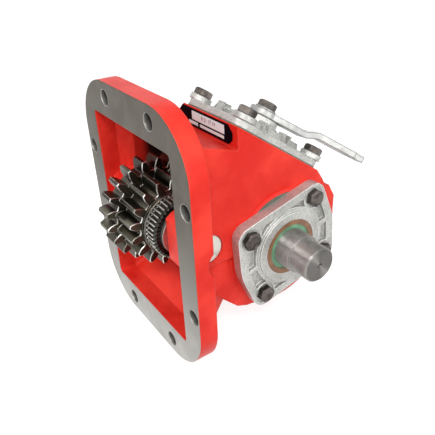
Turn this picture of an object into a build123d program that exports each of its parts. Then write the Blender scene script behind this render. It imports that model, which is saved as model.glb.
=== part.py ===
from build123d import *
import math
import os

# Truck power take off unit with an eight-hole flange, a lever shift and a side output shaft.
# Millimetres. The origin is the middle of the mounting face. +X runs along the output shaft,
# +Y goes back into the housing, away from the gearbox, and +Z is up.

# Mounting flange
flange_width = 165.0
flange_height = 215.5
flange_corner = 46.0
flange_thick = 15.5
window_width = 120.0
window_height = 160.0
window_corner = 3.0
mount_hole = 12.7
side_hole_across = 150.0
side_hole_apart = 88.9
end_hole_across = 69.8
end_hole_apart = 190.5

# Housing body
body_half = 61.0
face_raise = 3.0
ledge_height = -15.0
wall = 7.0
mouth_width = 134.0
mouth_height = 176.0
throat_width = 100.0
throat_height = 122.0
throat_inner_width = 84.0
throat_inner_height = 104.0
throat_depth = 52.0
throat_corner = 14.0
chamber_clearance = 8.0
chamber_wall = 8.0
body_top = 80.0
body_foot = 46.0

# Gears
gear_module = 4.0
pressure_angle = 20.0
backlash = 0.3
drive_teeth = 21
pinion_teeth = 17
output_teeth = 19
drive_width = 16.0
pinion_width = 25.0
cluster_face = 12.0
output_gear_width = 16.0
output_gear_face = 10.0
drive_phase = 82.5
pinion_phase = 104.8
shoulder_radius = 27.6
shoulder_width = 4.0
collar_teeth = 44
collar_radius = 26.1
collar_tooth = 1.5
collar_width = 11.5
collar_bevel = 2.0
hub_radius = 20.2
hub_stand = 2.0

# Idler pin
idler_back = 23.5
pin_diameter = 24.0
pin_fit = 0.02
needle_diameter = 3.0
needle_count = 14
needle_length = 20.0
cage_end = 1.0
cage_wall = 2.2
running_fit = 0.05
end_float = 0.3
thrust_washer_thick = 3.4
idler_boss_radius = 24.0
idler_boss_flat = 7.3
pin_recess = 1.0
pin_counterbore = 12.6
roll_pin_diameter = 5.0
roll_pin_length = 36.0
roll_pin_x = -48.0

# Output shaft
output_tilt = -15.46
spline_diameter = 34.8
spline_depth = 2.2
spline_teeth = 10
spline_end = 44.0
spline_fit = 0.08
seal_journal = 31.75
seal_journal_end = 89.5
neck_diameter = 27.4
neck_end = 95.5
drive_end_diameter = 28.6
shaft_tip = 108.2
tip_chamfer = 1.3
centre_drill = 4.0
centre_drill_depth = 6.0

# Ball bearings
front_bearing_outer = 72.0
front_bearing_bore = 35.0
front_bearing_width = 17.0
rear_bearing_outer = 62.0
rear_bearing_bore = 30.0
rear_bearing_width = 16.0
bearing_recess = 1.0
race_share = 0.27
ball_share = 0.3
ball_count = 8
ball_sides = 12
ball_gap = 0.1
bearing_fit = 0.02
bearing_shoulder = 5.0
bearing_shoulder_thick = 3.0
bearing_boss_wall = 4.0
snap_ring_thick = 1.75
snap_ring_height = 3.0
snap_ring_groove = 1.2
snap_ring_gap = 0.2

# Shift mechanism
shift_travel = 20.0
groove_width = 6.0
groove_depth = 5.0
groove_start = 4.0
gear_hub_radius = 29.0
gear_hub_length = 14.0
fork_clearance = 0.35
fork_outer = 36.0
fork_half_angle = 80.0
fork_arm_width = 16.0
rail_diameter = 12.0
rail_past_middle = 23.5
rail_below = 19.0
rail_fit = 0.03
rail_start = -56.0
rail_stop = 60.5
plug_thick = 3.0
fork_hub_radius = 9.5
fork_hub_length = 19.0
fork_hub_gap = 1.5
fork_lug_thick = 3.0
fork_lug_wide = 12.0
crank_swing = 48.0
crank_collar_gap = 0.3
crank_below = 1.2
crank_thick = 4.0
crank_shaft_diameter = 16.0
crank_hub_radius = 11.0
crank_pin_diameter = 8.0
crank_end_radius = 6.5
slot_clearance = 0.4
lug_clearance = 0.5
lever_seat_diameter = 14.0
lever_seat_flats = 10.5
ring_section = 2.0
ring_sides = 8
ring_groove = 2.0
ring_height = 12.0

# Shift tower and cover
cover_slope = 35.3
cover_edge_back = 51.3
cover_edge_up = 88.0
cover_width = 69.0
cover_length = 95.0
cover_left = -5.0
cover_corner = 9.0
cover_thick = 5.0
cover_bolt_side_inset = 7.0
cover_bolt_end_inset = 8.0
cover_pad_radius = 8.6
cover_pad_height = 4.2
cover_dome_inset = 12.5
cover_dome_height = 5.0
cover_dome_taper = 20.0
cover_hub_radius = 14.0
cover_hub_top = 17.0
cover_lug = 7.5
cover_lug_height = 7.0
cover_lug_wall = 1.6
cover_lug_places = ((-4.0, -35.0), (20.0, -12.0), (20.0, 12.0))
tower_depth = 60.0
tower_flare = 14.0
tower_flare_depth = 10.0
tower_opening_width = 44.0
tower_opening_inset = 12.0
gasket_thick = 0.8

# Lever
lever_angle = 65.0
lever_length = 93.0
lever_thick = 5.0
lever_wide = 20.0
lever_tip_wide = 11.0
lever_tip_length = 7.0
lever_lift = 0.5
lever_step_start = 36.0
lever_step_run = 10.0
lever_step = 4.0
lever_hole = 6.5
lever_hole_from_tip = 12.0
lever_washer_radius = 8.5
lever_washer_thick = 1.6
lever_screw_length = 14.0

# Bearing cover
seal_cover_turn = 13.9
seal_cover_bolt_across = 64.6
seal_cover_bolt_apart = 57.6
seal_cover_ear = 11.5
seal_cover_body = 48.0
seal_cover_seat_round = 46.6
seal_cover_plate = 9.0
seal_cover_boss = 32.0
seal_cover_boss_taper = 8.0
seal_cover_boss_height = 10.8
seal_cover_spot_face = 8.8
seal_cover_spot_depth = 1.2
seal_cover_border = 7.0
seal_cover_pocket = 3.5
seal_cover_ear_wall = 1.7
seal_cover_rib = 4.0
seal_diameter = 48.0
seal_fit = 0.02
seal_bore_depth = 9.0
seal_recess = 0.5
seal_case_wall = 2.0
seal_case_lip = 4.5
seal_case_front = 2.5
seal_lip_fit = 0.06
seal_lip_wall = 1.5
seal_lip_front = 0.6
seal_lip_length = 7.0
seal_spring = 0.8
ear_boss_radius = 15.0
ear_boss_length = 34.0
pilot_wall = 5.0
pilot_fit = 0.05

# Rear cap
cap_radius = 44.0
cap_plate = 6.0
cap_dome_radius = 26.0
cap_dome_height = 5.0
cap_hollow = 22.0
cap_hollow_depth = 6.0
cap_bolt_circle = 37.5

# Screws
screw_diameter = 8.0
screw_flats = 13.0
screw_head = 5.3
screw_grip = 8.0
short_screw_grip = 4.4
tap_spare = 0.4
tap_fit = 0.02
clearance_hole = 8.6
screw_turns = (25.0, 50.0, 10.0, 40.0)

# Name plate
plate_left = -11.0
plate_right = 58.0
plate_height = 14.0
plate_drop = 1.5
plate_thick = 0.6

# Rear lug
lug_reach = 152.5
lug_foot = -20.0
lug_top = 14.0
lug_near = 62.0
lug_width = 22.0

# Worked out from the values above
small_pitch = gear_module * pinion_teeth / 2
output_pitch = gear_module * output_teeth / 2
centre_distance = small_pitch + output_pitch
output_back = idler_back + centre_distance * math.cos(math.radians(output_tilt))
output_up = centre_distance * math.sin(math.radians(output_tilt))
idler_spot = (idler_back, 0)
output_spot = (output_back, output_up)
chamber_radius = output_pitch + gear_module + chamber_clearance
body_round = chamber_radius + chamber_wall
near_face = body_half + face_raise
far_face = -near_face
inner_half = body_half - wall
pin_radius = pin_diameter / 2
bore_radius = pin_radius + needle_diameter + running_fit
pinion_far = cluster_face - pinion_width
drive_far = pinion_far - drive_width
cluster_near = cluster_face + shoulder_width + collar_width
cluster_far = drive_far - hub_stand
idler_boss_near = cluster_near + thrust_washer_thick + 2 * end_float
idler_boss_far = cluster_far - thrust_washer_thick - 2 * end_float
spline_major = spline_diameter / 2
spline_minor = spline_major - spline_depth
front_bearing_start = near_face - bearing_recess - front_bearing_width
rear_bearing_start = far_face + bearing_recess + rear_bearing_width
front_boss_radius = front_bearing_outer / 2 + bearing_boss_wall
rear_boss_radius = rear_bearing_outer / 2 + bearing_boss_wall
gear_far = output_gear_face - output_gear_width
hub_near = output_gear_face + gear_hub_length
groove_far = output_gear_face + groove_start
groove_middle = groove_far + groove_width / 2
groove_radius = gear_hub_radius - groove_depth
fork_inner = groove_radius + fork_clearance
fork_thick = groove_width - 2 * fork_clearance
slope = math.radians(cover_slope)
slope_down = Vector(0, math.cos(slope), -math.sin(slope))
slope_out = Vector(0, math.sin(slope), math.cos(slope))
cover_edge = Vector(cover_left, cover_edge_back, cover_edge_up)
cover_middle = cover_edge + Vector(cover_width / 2, 0, 0) + slope_down * (cover_length / 2)
cover_end = cover_edge + slope_down * cover_length
cover_bolt_across = cover_width - 2 * cover_bolt_side_inset
cover_bolt_apart = cover_length - 2 * cover_bolt_end_inset
tower_opening_length = cover_length - 2 * tower_opening_inset
plate_top = cover_edge_up - plate_drop
plate_foot = plate_top - plate_height
cover_plane = Plane(origin=cover_middle, x_dir=(1, 0, 0), z_dir=slope_out)
crank_radius = shift_travel / 2 / math.sin(math.radians(crank_swing / 2))
rail_centre = cover_middle + slope_down * rail_past_middle - slope_out * rail_below
rail_spot = (rail_centre.Y, rail_centre.Z)
rail_turn = math.degrees(math.atan2(rail_centre.Z - output_up, rail_centre.Y - output_back))
fork_hub_far = output_gear_face + fork_hub_gap
crank_foot = -crank_below - crank_thick
crank_pin_foot = fork_hub_radius - rail_below + slot_clearance
lever_foot = cover_hub_top + lever_lift
lever_top = lever_foot + lever_thick
cover_screw_seat = gasket_thick + cover_thick + cover_pad_height
seal_cover_seat = near_face + gasket_thick
seal_cover_face = seal_cover_seat + seal_cover_boss_height
seal_cover_screw_seat = seal_cover_seat + seal_cover_plate - seal_cover_spot_depth
seal_cover_web = seal_cover_boss + seal_cover_ear_wall
seal_start = seal_cover_face - seal_bore_depth
seal_end = seal_cover_face - seal_recess
seal_outer = seal_diameter / 2
cap_seat = far_face - gasket_thick
tapped_radius = screw_diameter / 2 + tap_fit
beyond = 2 * flange_height


def across(x, spot, turn=0.0):
    """Give a plane across the shafts at the given place, facing the output end."""
    spin = math.radians(turn)
    facing = (0, math.cos(spin), math.sin(spin))
    return Plane(origin=(x, spot[0], spot[1]), x_dir=facing, z_dir=(1, 0, 0))


def on_cover(x, along, height, turn=0.0):
    """Give a plane parallel to the shift cover, measured from the middle of its seat."""
    spin = math.radians(turn)
    facing = Vector(math.cos(spin), 0, 0) + slope_down * math.sin(spin)
    place = cover_middle + Vector(x, 0, 0) + slope_down * along + slope_out * height
    return Plane(origin=place, x_dir=facing, z_dir=slope_out)


def involute(angle):
    """Give the involute function of an angle in radians."""
    return math.tan(angle) - angle


def gear_tooth(teeth):
    """Make the flat outline of one spur gear tooth pointing along the sketch's x axis."""
    pitch = gear_module * teeth / 2
    base = pitch * math.cos(math.radians(pressure_angle))
    tip = pitch + gear_module
    root = pitch - 1.25 * gear_module
    low = max(base, root)
    half_at_pitch = math.pi / 2 / teeth - backlash / 4 / pitch
    half_at_base = half_at_pitch + involute(math.radians(pressure_angle))

    def flank(radius, side):
        turn = half_at_base - involute(math.acos(base / radius))
        return (radius * math.cos(side * turn), radius * math.sin(side * turn))

    foot = root - 1.0
    middle = (low + tip) / 2
    with BuildSketch() as tooth:
        with BuildLine():
            ThreePointArc(flank(low, 1), flank(middle, 1), flank(tip, 1))
            ThreePointArc(flank(tip, 1), (tip, 0), flank(tip, -1))
            ThreePointArc(flank(tip, -1), flank(middle, -1), flank(low, -1))
            Polyline(flank(low, -1), (foot, flank(low, -1)[1]), (foot, flank(low, 1)[1]),
                     flank(low, 1))
        make_face()
    return tooth.sketch


def add_gear(tooth, teeth, first_tooth):
    """Draw a spur gear in the current sketch with a tooth at the given angle."""
    Circle(gear_module * teeth / 2 - 1.25 * gear_module)
    with PolarLocations(0, teeth, first_tooth):
        add(tooth)


def fine_tooth(teeth, tip, depth):
    """Make the flat outline of one fine pointed tooth along the sketch's x axis."""
    half = math.pi / teeth
    low = tip - depth
    with BuildSketch() as tooth:
        Polygon(
            (low - 1.0, low * half * 0.8),
            (low, low * half * 0.8),
            (tip, tip * half * 0.2),
            (tip, -tip * half * 0.2),
            (low, -low * half * 0.8),
            (low - 1.0, -low * half * 0.8),
            align=None,
        )
    return tooth.sketch


def add_spline(grow):
    """Draw the straight sided shaft spline in the current sketch, grown by a clearance."""
    key_width = math.pi * (spline_major + spline_minor) / 2 / spline_teeth + 2 * grow
    with PolarLocations(0, spline_teeth):
        with Locations(((spline_major + grow) / 2, 0)):
            Rectangle(spline_major + grow + 1.0, key_width)
    Circle(spline_major + grow, mode=Mode.INTERSECT)
    Circle(spline_minor + grow)


def add_body_profile():
    """Draw the side profile of the main casting in the current sketch."""
    start = flange_thick - 2.0
    Polygon(
        (start, body_top - 8.0),
        (start + 10.0, body_top),
        (cover_edge_back + 0.5, plate_foot - 2.0),
        (output_back + 16.0, output_up + body_round - 2.3),
        (output_back, output_up),
        (output_back - 20.0, output_up - body_round + 3.6),
        (60.0, -72.0),
        (50.0, -68.0),
        (28.0, -body_foot),
        (start, -body_foot),
        align=None,
    )
    with Locations(output_spot):
        Circle(body_round)


def across_seal_cover(x):
    """Give a plane across the output shaft, turned as the bearing cover is."""
    return across(x, output_spot, seal_cover_turn)


def cap_bolts():
    """Give the places of the four rear cap screws across the shaft."""
    places = []
    for corner in range(4):
        turn = math.radians(45 + 90 * corner)
        reach = cap_bolt_circle
        places.append((output_back + reach * math.cos(turn), output_up + reach * math.sin(turn)))
    return places


def add_seal_cover_outline(border=0.0):
    """Draw the bearing cover's outline, or what lies inside its border, in the current sketch."""
    ear = seal_cover_ear - border
    Circle(seal_cover_body - border)
    Rectangle(2 * seal_cover_body, seal_cover_bolt_apart + 2 * ear, mode=Mode.INTERSECT)
    with GridLocations(seal_cover_bolt_across, seal_cover_bolt_apart, 2, 2):
        Circle(ear)
    make_hull()


def make_screw(plane, length):
    """Make a hex screw with its head on the plane and its shank below."""
    corner = screw_flats / 2 * 0.95
    spread = screw_head / math.tan(math.radians(30))
    with BuildPart() as screw:
        with BuildSketch(plane):
            RegularPolygon(screw_flats / 2, 6, major_radius=False)
        extrude(amount=screw_head)
        with Locations(plane):
            Cone(corner + spread, corner, screw_head, align=(Align.CENTER, Align.CENTER, Align.MIN),
                 mode=Mode.INTERSECT)
        with BuildSketch(plane):
            Circle(screw_diameter / 2)
        extrude(amount=-length)
    return screw.part


def make_ring(x, spot, outer, inner, width):
    """Make a plain ring across the shafts that starts at x."""
    with BuildPart() as ring:
        with BuildSketch(Plane.YZ.offset(x)):
            with Locations(spot):
                Circle(outer)
                Circle(inner, mode=Mode.SUBTRACT)
        extrude(amount=width)
    return ring.part


def make_bead(plane, ring_radius, section_radius, sides):
    """Make a round ring of many-sided section about the plane's z axis."""
    across_ring = Plane(origin=plane.origin, x_dir=plane.x_dir, z_dir=-plane.y_dir)
    with BuildPart() as bead:
        with BuildSketch(across_ring):
            with Locations((ring_radius, 0)):
                RegularPolygon(section_radius, sides)
        revolve(axis=Axis(plane.origin, plane.z_dir))
    return bead.part


def make_race(x, outer, inner, width, ball_pitch, ball_radius):
    """Make a bearing race with a ball groove, on the output shaft's line."""
    middle = across(x + width / 2, output_spot)
    groove_corner = (ball_radius + ball_gap) / math.cos(math.pi / ball_sides)
    groove = make_bead(middle, ball_pitch, groove_corner, ball_sides)
    with BuildPart() as race:
        with BuildSketch(Plane.YZ.offset(x)):
            with Locations(output_spot):
                Circle(outer)
                Circle(inner, mode=Mode.SUBTRACT)
        extrude(amount=width)
        add(groove, mode=Mode.SUBTRACT)
    return race.part


def make_ball(radius):
    """Make a bearing ball as a turned shape of a few flat bands, standing on z."""
    with BuildPart() as ball:
        with BuildSketch(Plane.XZ):
            RegularPolygon(radius, ball_sides, rotation=90)
            with Locations((-radius, 0)):
                Rectangle(2 * radius, 2 * radius, mode=Mode.SUBTRACT)
        revolve(axis=Axis.Z)
    return ball.part


def make_balls(x, ball_pitch, ball_radius):
    """Make the balls of a bearing with the thin cage that joins them."""
    ball = make_ball(ball_radius)
    with BuildPart() as balls:
        with BuildSketch(Plane.YZ.offset(x - ball_radius * 0.6)):
            with Locations(output_spot):
                Circle(ball_pitch + 1.0)
                Circle(ball_pitch - 1.0, mode=Mode.SUBTRACT)
        extrude(amount=ball_radius * 1.2)
        with Locations(across(x, output_spot)):
            with PolarLocations(ball_pitch, ball_count):
                add(ball)
    return balls.part


def make_snap_ring(x, shaft_radius, plane_turn):
    """Make an open snap ring seated in its groove on the output shaft."""
    inner = shaft_radius - snap_ring_groove
    with BuildPart() as ring:
        with BuildSketch(across(x, output_spot, plane_turn)):
            Circle(inner + snap_ring_height)
            Circle(inner, mode=Mode.SUBTRACT)
            with Locations((inner + snap_ring_height / 2, 0)):
                Rectangle(snap_ring_height * 3, 5.0, mode=Mode.SUBTRACT)
        extrude(amount=snap_ring_thick)
    return ring.part


def save(part, name):
    """Label a finished piece and write it to its own file."""
    part.label = name
    export_step(part, f"parts/{name}.step")


os.makedirs("parts", exist_ok=True)

# Housing casting
half_width = flange_width / 2
tower_start = 30.0
tower_section = Plane(
    origin=cover_edge - slope_down * tower_start, x_dir=(1, 0, 0), z_dir=slope_down
)
with BuildPart() as housing:
    # The sloping shift tower, cut off by its upright wall
    with BuildSketch(tower_section):
        Polygon(
            (0, 0),
            (cover_width, 0),
            (cover_width, tower_depth),
            (-tower_flare, tower_depth),
            (-tower_flare, tower_flare_depth),
            align=None,
        )
    extrude(amount=tower_start + cover_length)
    split(bisect_by=Plane.XZ.offset(-cover_edge_back), keep=Keep.BOTTOM)
    with BuildSketch(Plane.YZ.offset(cover_left)):
        Polygon(
            (output_back - chamber_wall, output_up),
            (cover_end.Y, cover_end.Z),
            (cover_end.Y + 6.0, cover_end.Z - 9.0),
            (cover_end.Y + 11.0, cover_end.Z - 18.0),
            align=None,
        )
    extrude(amount=cover_width)

    # Flange and the mouth behind it
    with BuildSketch(Plane.XZ):
        RectangleRounded(flange_width, flange_height, flange_corner)
    extrude(amount=-flange_thick)
    with BuildSketch(Plane.XZ.offset(1.0 - flange_thick)):
        RectangleRounded(mouth_width, mouth_height, throat_corner)
    with BuildSketch(Plane.XZ.offset(-throat_depth)):
        RectangleRounded(throat_width, throat_height, throat_corner)
    loft()

    # Main body with its raised near face and its ears
    with BuildSketch(Plane.YZ.offset(-body_half)):
        add_body_profile()
    extrude(amount=2 * body_half)
    with BuildSketch(Plane.YZ.offset(body_half - face_raise)):
        add_body_profile()
        with Locations((output_back, ledge_height + beyond / 2)):
            Rectangle(beyond, beyond, mode=Mode.INTERSECT)
    extrude(amount=2 * face_raise)
    with BuildSketch(across_seal_cover(body_half - face_raise)):
        add_seal_cover_outline()
        Circle(seal_cover_seat_round)
    extrude(amount=2 * face_raise)
    with BuildSketch(across_seal_cover(near_face - ear_boss_length)):
        with GridLocations(seal_cover_bolt_across, seal_cover_bolt_apart, 2, 2):
            Circle(ear_boss_radius)
    extrude(amount=ear_boss_length - face_raise)
    with BuildSketch(Plane.YZ.offset(lug_near)):
        Polygon(
            (output_back, lug_top),
            (lug_reach - 7.0, lug_top),
            (lug_reach, lug_top - 12.0),
            (lug_reach, lug_foot + 8.0),
            (lug_reach - 4.0, lug_foot),
            (output_back, lug_foot),
            align=None,
        )
    extrude(amount=-lug_width)
    with BuildSketch(Plane.YZ.offset(-body_half)):
        with Locations(output_spot):
            Circle(cap_radius)
    extrude(amount=-face_raise)

    # Window, throat, gear chamber and tower opening
    with BuildSketch(Plane.XZ):
        RectangleRounded(window_width, window_height, window_corner)
    extrude(amount=-flange_thick, mode=Mode.SUBTRACT)
    with BuildSketch(Plane.XZ.offset(-flange_thick)):
        RectangleRounded(window_width, window_height, window_corner)
    with BuildSketch(Plane.XZ.offset(-throat_depth)):
        RectangleRounded(throat_inner_width, throat_inner_height, window_corner)
    loft(mode=Mode.SUBTRACT)
    with BuildSketch(Plane.YZ.offset(-inner_half)):
        Polygon(
            (flange_thick, -body_foot + wall),
            (flange_thick, body_top - 22.0),
            (52.0, 52.0),
            (output_back, output_up + chamber_radius),
            (output_back, output_up - chamber_radius),
            (54.0, -60.0),
            (34.0, -body_foot + wall),
            align=None,
        )
        with Locations(output_spot):
            Circle(chamber_radius)
    extrude(amount=2 * inner_half, mode=Mode.SUBTRACT)
    opening_top = on_cover(0, -tower_opening_length / 2, 2.0).origin
    opening_foot = on_cover(0, tower_opening_length / 2, 2.0).origin
    with BuildSketch(Plane.YZ.offset(cover_middle.X - tower_opening_width / 2)):
        Polygon(
            (opening_top.Y, 20.0),
            (opening_top.Y, opening_top.Z),
            (opening_foot.Y, opening_foot.Z),
            (opening_foot.Y, 0.0),
            align=None,
        )
    extrude(amount=tower_opening_width, mode=Mode.SUBTRACT)

    # Bosses inside the casting
    for boss_start, boss_length in (
        (idler_boss_near, near_face - idler_boss_near - face_raise),
        (idler_boss_far, -idler_boss_far - body_half),
    ):
        with BuildSketch(Plane.YZ.offset(boss_start)):
            with Locations(idler_spot):
                Circle(idler_boss_radius)
            with Locations((idler_boss_flat - beyond / 2, 0)):
                Rectangle(beyond, beyond, mode=Mode.SUBTRACT)
        extrude(amount=boss_length)
    with BuildSketch(Plane.YZ.offset(front_bearing_start - bearing_shoulder_thick)):
        with Locations(output_spot):
            Circle(front_boss_radius)
    extrude(amount=front_bearing_width + bearing_shoulder_thick)
    with BuildSketch(Plane.YZ.offset(rear_bearing_start + bearing_shoulder_thick)):
        with Locations(output_spot):
            Circle(rear_boss_radius)
    extrude(amount=-rear_bearing_width - bearing_shoulder_thick)

    # Bores for the pin, bearings and rail
    with BuildSketch(Plane.YZ.offset(-half_width)):
        with Locations(idler_spot):
            Circle(pin_radius + pin_fit)
    extrude(amount=flange_width, mode=Mode.SUBTRACT)
    with BuildSketch(Plane.YZ.offset(near_face)):
        with Locations(idler_spot):
            Circle(pin_counterbore)
    extrude(amount=half_width, mode=Mode.SUBTRACT)
    with BuildSketch(Plane.YZ.offset(front_bearing_start)):
        with Locations(output_spot):
            Circle(front_bearing_outer / 2 + bearing_fit)
    extrude(amount=near_face, mode=Mode.SUBTRACT)
    with BuildSketch(Plane.YZ.offset(front_bearing_start - bearing_shoulder_thick)):
        with Locations(output_spot):
            Circle(front_bearing_outer / 2 - bearing_shoulder)
    extrude(amount=bearing_shoulder_thick, mode=Mode.SUBTRACT)
    with BuildSketch(Plane.YZ.offset(rear_bearing_start)):
        with Locations(output_spot):
            Circle(rear_bearing_outer / 2 + bearing_fit)
    extrude(amount=far_face, mode=Mode.SUBTRACT)
    with BuildSketch(Plane.YZ.offset(rear_bearing_start + bearing_shoulder_thick)):
        with Locations(output_spot):
            Circle(rear_bearing_outer / 2 - bearing_shoulder)
    extrude(amount=-bearing_shoulder_thick, mode=Mode.SUBTRACT)
    with BuildSketch(Plane.YZ.offset(rail_stop)):
        with Locations(rail_spot):
            Circle(rail_diameter / 2 + rail_fit)
    extrude(amount=-rail_stop - near_face, mode=Mode.SUBTRACT)
    with BuildSketch(Plane.XZ.offset(-idler_boss_flat)):
        with Locations((roll_pin_x, 0)):
            Circle(roll_pin_diameter / 2 + pin_fit)
    extrude(amount=-roll_pin_length, mode=Mode.SUBTRACT)

    # Mounting holes and tapped holes
    with BuildSketch(Plane.XZ):
        with GridLocations(side_hole_across, side_hole_apart, 2, 2):
            Circle(mount_hole / 2)
        with GridLocations(end_hole_across, end_hole_apart, 2, 2):
            Circle(mount_hole / 2)
    extrude(amount=-flange_thick, mode=Mode.SUBTRACT)
    with BuildSketch(cover_plane):
        with GridLocations(cover_bolt_across, 0, 2, 1):
            with Locations((0, cover_bolt_apart / 2)):
                Circle(tapped_radius)
    extrude(amount=-screw_grip - tap_spare, mode=Mode.SUBTRACT)
    with BuildSketch(cover_plane):
        with GridLocations(cover_bolt_across, 0, 2, 1):
            with Locations((0, -cover_bolt_apart / 2)):
                Circle(tapped_radius)
    extrude(amount=-short_screw_grip - tap_spare, mode=Mode.SUBTRACT)
    with BuildSketch(across_seal_cover(near_face)):
        with GridLocations(seal_cover_bolt_across, seal_cover_bolt_apart, 2, 2):
            Circle(tapped_radius)
    extrude(amount=-screw_grip - tap_spare, mode=Mode.SUBTRACT)
    with BuildSketch(Plane.YZ.offset(far_face)):
        with Locations(*cap_bolts()):
            Circle(tapped_radius)
    extrude(amount=screw_grip + tap_spare, mode=Mode.SUBTRACT)
save(housing.part, "housing")

# Idler pin with its roll pin
with BuildPart() as idler_pin:
    with BuildSketch(Plane.YZ.offset(-body_half)):
        with Locations(idler_spot):
            Circle(pin_radius)
    extrude(amount=body_half + near_face - pin_recess)
    chamfer(idler_pin.edges().filter_by(GeomType.CIRCLE), 0.6)
    with BuildSketch(Plane.XZ.offset(-idler_boss_flat)):
        with Locations((roll_pin_x, 0)):
            Circle(roll_pin_diameter / 2 + pin_fit)
    extrude(amount=-roll_pin_length, mode=Mode.SUBTRACT)
save(idler_pin.part, "idler_pin")

with BuildPart() as roll_pin:
    with BuildSketch(Plane.XZ.offset(-idler_boss_flat)):
        with Locations((roll_pin_x, 0)):
            Circle(roll_pin_diameter / 2)
            Circle(roll_pin_diameter / 4, mode=Mode.SUBTRACT)
    extrude(amount=-roll_pin_length)
save(roll_pin.part, "roll_pin")

# Cluster of input gear, pinion, shoulder and serrated collar in one piece
drive_tooth = gear_tooth(drive_teeth)
pinion_tooth = gear_tooth(pinion_teeth)
output_tooth = gear_tooth(output_teeth)
collar_point = fine_tooth(collar_teeth, collar_radius, collar_tooth)
with BuildPart() as cluster_gear:
    with BuildSketch(Plane.YZ.offset(cluster_near - collar_width)):
        with Locations(idler_spot):
            Circle(collar_radius - collar_tooth)
            with PolarLocations(0, collar_teeth):
                add(collar_point)
    extrude(amount=collar_width)
    with Locations(across(cluster_near - collar_width, idler_spot)):
        Cone(collar_radius + collar_width - collar_bevel, collar_radius - collar_bevel,
             collar_width, align=(Align.CENTER, Align.CENTER, Align.MIN), mode=Mode.INTERSECT)
    with BuildSketch(Plane.YZ.offset(drive_far)):
        with Locations(idler_spot):
            add_gear(drive_tooth, drive_teeth, drive_phase)
    extrude(amount=drive_width)
    with BuildSketch(Plane.YZ.offset(pinion_far)):
        with Locations(idler_spot):
            add_gear(pinion_tooth, pinion_teeth, pinion_phase)
    extrude(amount=pinion_width)
    with BuildSketch(Plane.YZ.offset(cluster_face)):
        with Locations(idler_spot):
            Circle(shoulder_radius)
    extrude(amount=shoulder_width)
    with BuildSketch(Plane.YZ.offset(cluster_far)):
        with Locations(idler_spot):
            Circle(hub_radius)
    extrude(amount=hub_stand)
    with BuildSketch(Plane.YZ.offset(cluster_far)):
        with Locations(idler_spot):
            Circle(bore_radius)
    extrude(amount=cluster_near - cluster_far, mode=Mode.SUBTRACT)
save(cluster_gear.part, "cluster_gear")

# Two caged rows of needles and the spacer tube between them
row_length = needle_length + 2 * cage_end
row_places = {
    "needle_row_front": cluster_near - end_float - row_length,
    "needle_row_rear": cluster_far + end_float,
}
needle_pitch = bore_radius - needle_diameter / 2
for row_name, row_start in row_places.items():
    with BuildPart() as needle_row:
        with BuildSketch(Plane.YZ.offset(row_start)):
            with Locations(idler_spot):
                Circle(needle_pitch + cage_wall / 2)
                Circle(needle_pitch - cage_wall / 2, mode=Mode.SUBTRACT)
        extrude(amount=row_length)
        with BuildSketch(Plane.YZ.offset(row_start + cage_end)):
            with Locations(idler_spot):
                with PolarLocations(needle_pitch, needle_count):
                    Circle(needle_diameter / 2)
        extrude(amount=needle_length)
    save(needle_row.part, row_name)
spacer_start = row_places["needle_row_rear"] + row_length + end_float
spacer_stop = row_places["needle_row_front"] - end_float
needle_spacer = make_ring(
    spacer_start, idler_spot, bore_radius - running_fit, bore_radius - cage_wall,
    spacer_stop - spacer_start,
)
save(needle_spacer, "needle_spacer")
washer_bore = pin_radius + running_fit
save(
    make_ring(cluster_near + end_float, idler_spot, hub_radius, washer_bore, thrust_washer_thick),
    "thrust_washer_front",
)
save(
    make_ring(idler_boss_far + end_float, idler_spot, hub_radius, washer_bore,
              thrust_washer_thick),
    "thrust_washer_rear",
)

# Output shaft
front_seat = front_bearing_bore / 2
rear_seat = rear_bearing_bore / 2
front_seat_end = near_face - bearing_recess
rear_seat_end = far_face + bearing_recess
shaft_back = rear_seat_end - snap_ring_thick - 1.0
journal = seal_journal / 2
with BuildPart() as output_shaft:
    with BuildSketch(Plane.YZ.offset(rear_bearing_start)):
        with Locations(output_spot):
            add_spline(0.0)
    extrude(amount=spline_end - rear_bearing_start)
    for step_start, step_end, step_radius in (
        (shaft_back, rear_bearing_start, rear_seat),
        (spline_end, front_seat_end + snap_ring_thick + 0.5, front_seat),
        (front_seat_end, seal_journal_end, journal),
        (seal_journal_end, neck_end, neck_diameter / 2),
        (neck_end, shaft_tip, drive_end_diameter / 2),
    ):
        with BuildSketch(Plane.YZ.offset(step_start)):
            with Locations(output_spot):
                Circle(step_radius)
        extrude(amount=step_end - step_start)
    tip_edge = output_shaft.edges().filter_by(GeomType.CIRCLE).sort_by(Axis.X)[-1]
    chamfer(tip_edge, tip_chamfer)
    for ring_start, ring_seat in (
        (spline_end + snap_ring_gap, front_seat),
        (front_seat_end, front_seat),
        (rear_seat_end - snap_ring_thick, rear_seat),
    ):
        with BuildSketch(Plane.YZ.offset(ring_start)):
            with Locations(output_spot):
                Circle(ring_seat + 1.0)
                Circle(ring_seat - snap_ring_groove, mode=Mode.SUBTRACT)
        extrude(amount=snap_ring_thick, mode=Mode.SUBTRACT)
    with BuildSketch(Plane.YZ.offset(shaft_tip)):
        with Locations(output_spot):
            Circle(centre_drill / 2)
    extrude(amount=-centre_drill_depth, mode=Mode.SUBTRACT)
save(output_shaft.part, "output_shaft")
save(make_snap_ring(spline_end + snap_ring_gap, front_seat, 30.0), "snap_ring_inner")
save(make_snap_ring(front_seat_end, front_seat, 90.0), "snap_ring_front")
save(make_snap_ring(rear_seat_end - snap_ring_thick, rear_seat, 90.0), "snap_ring_rear")

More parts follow.
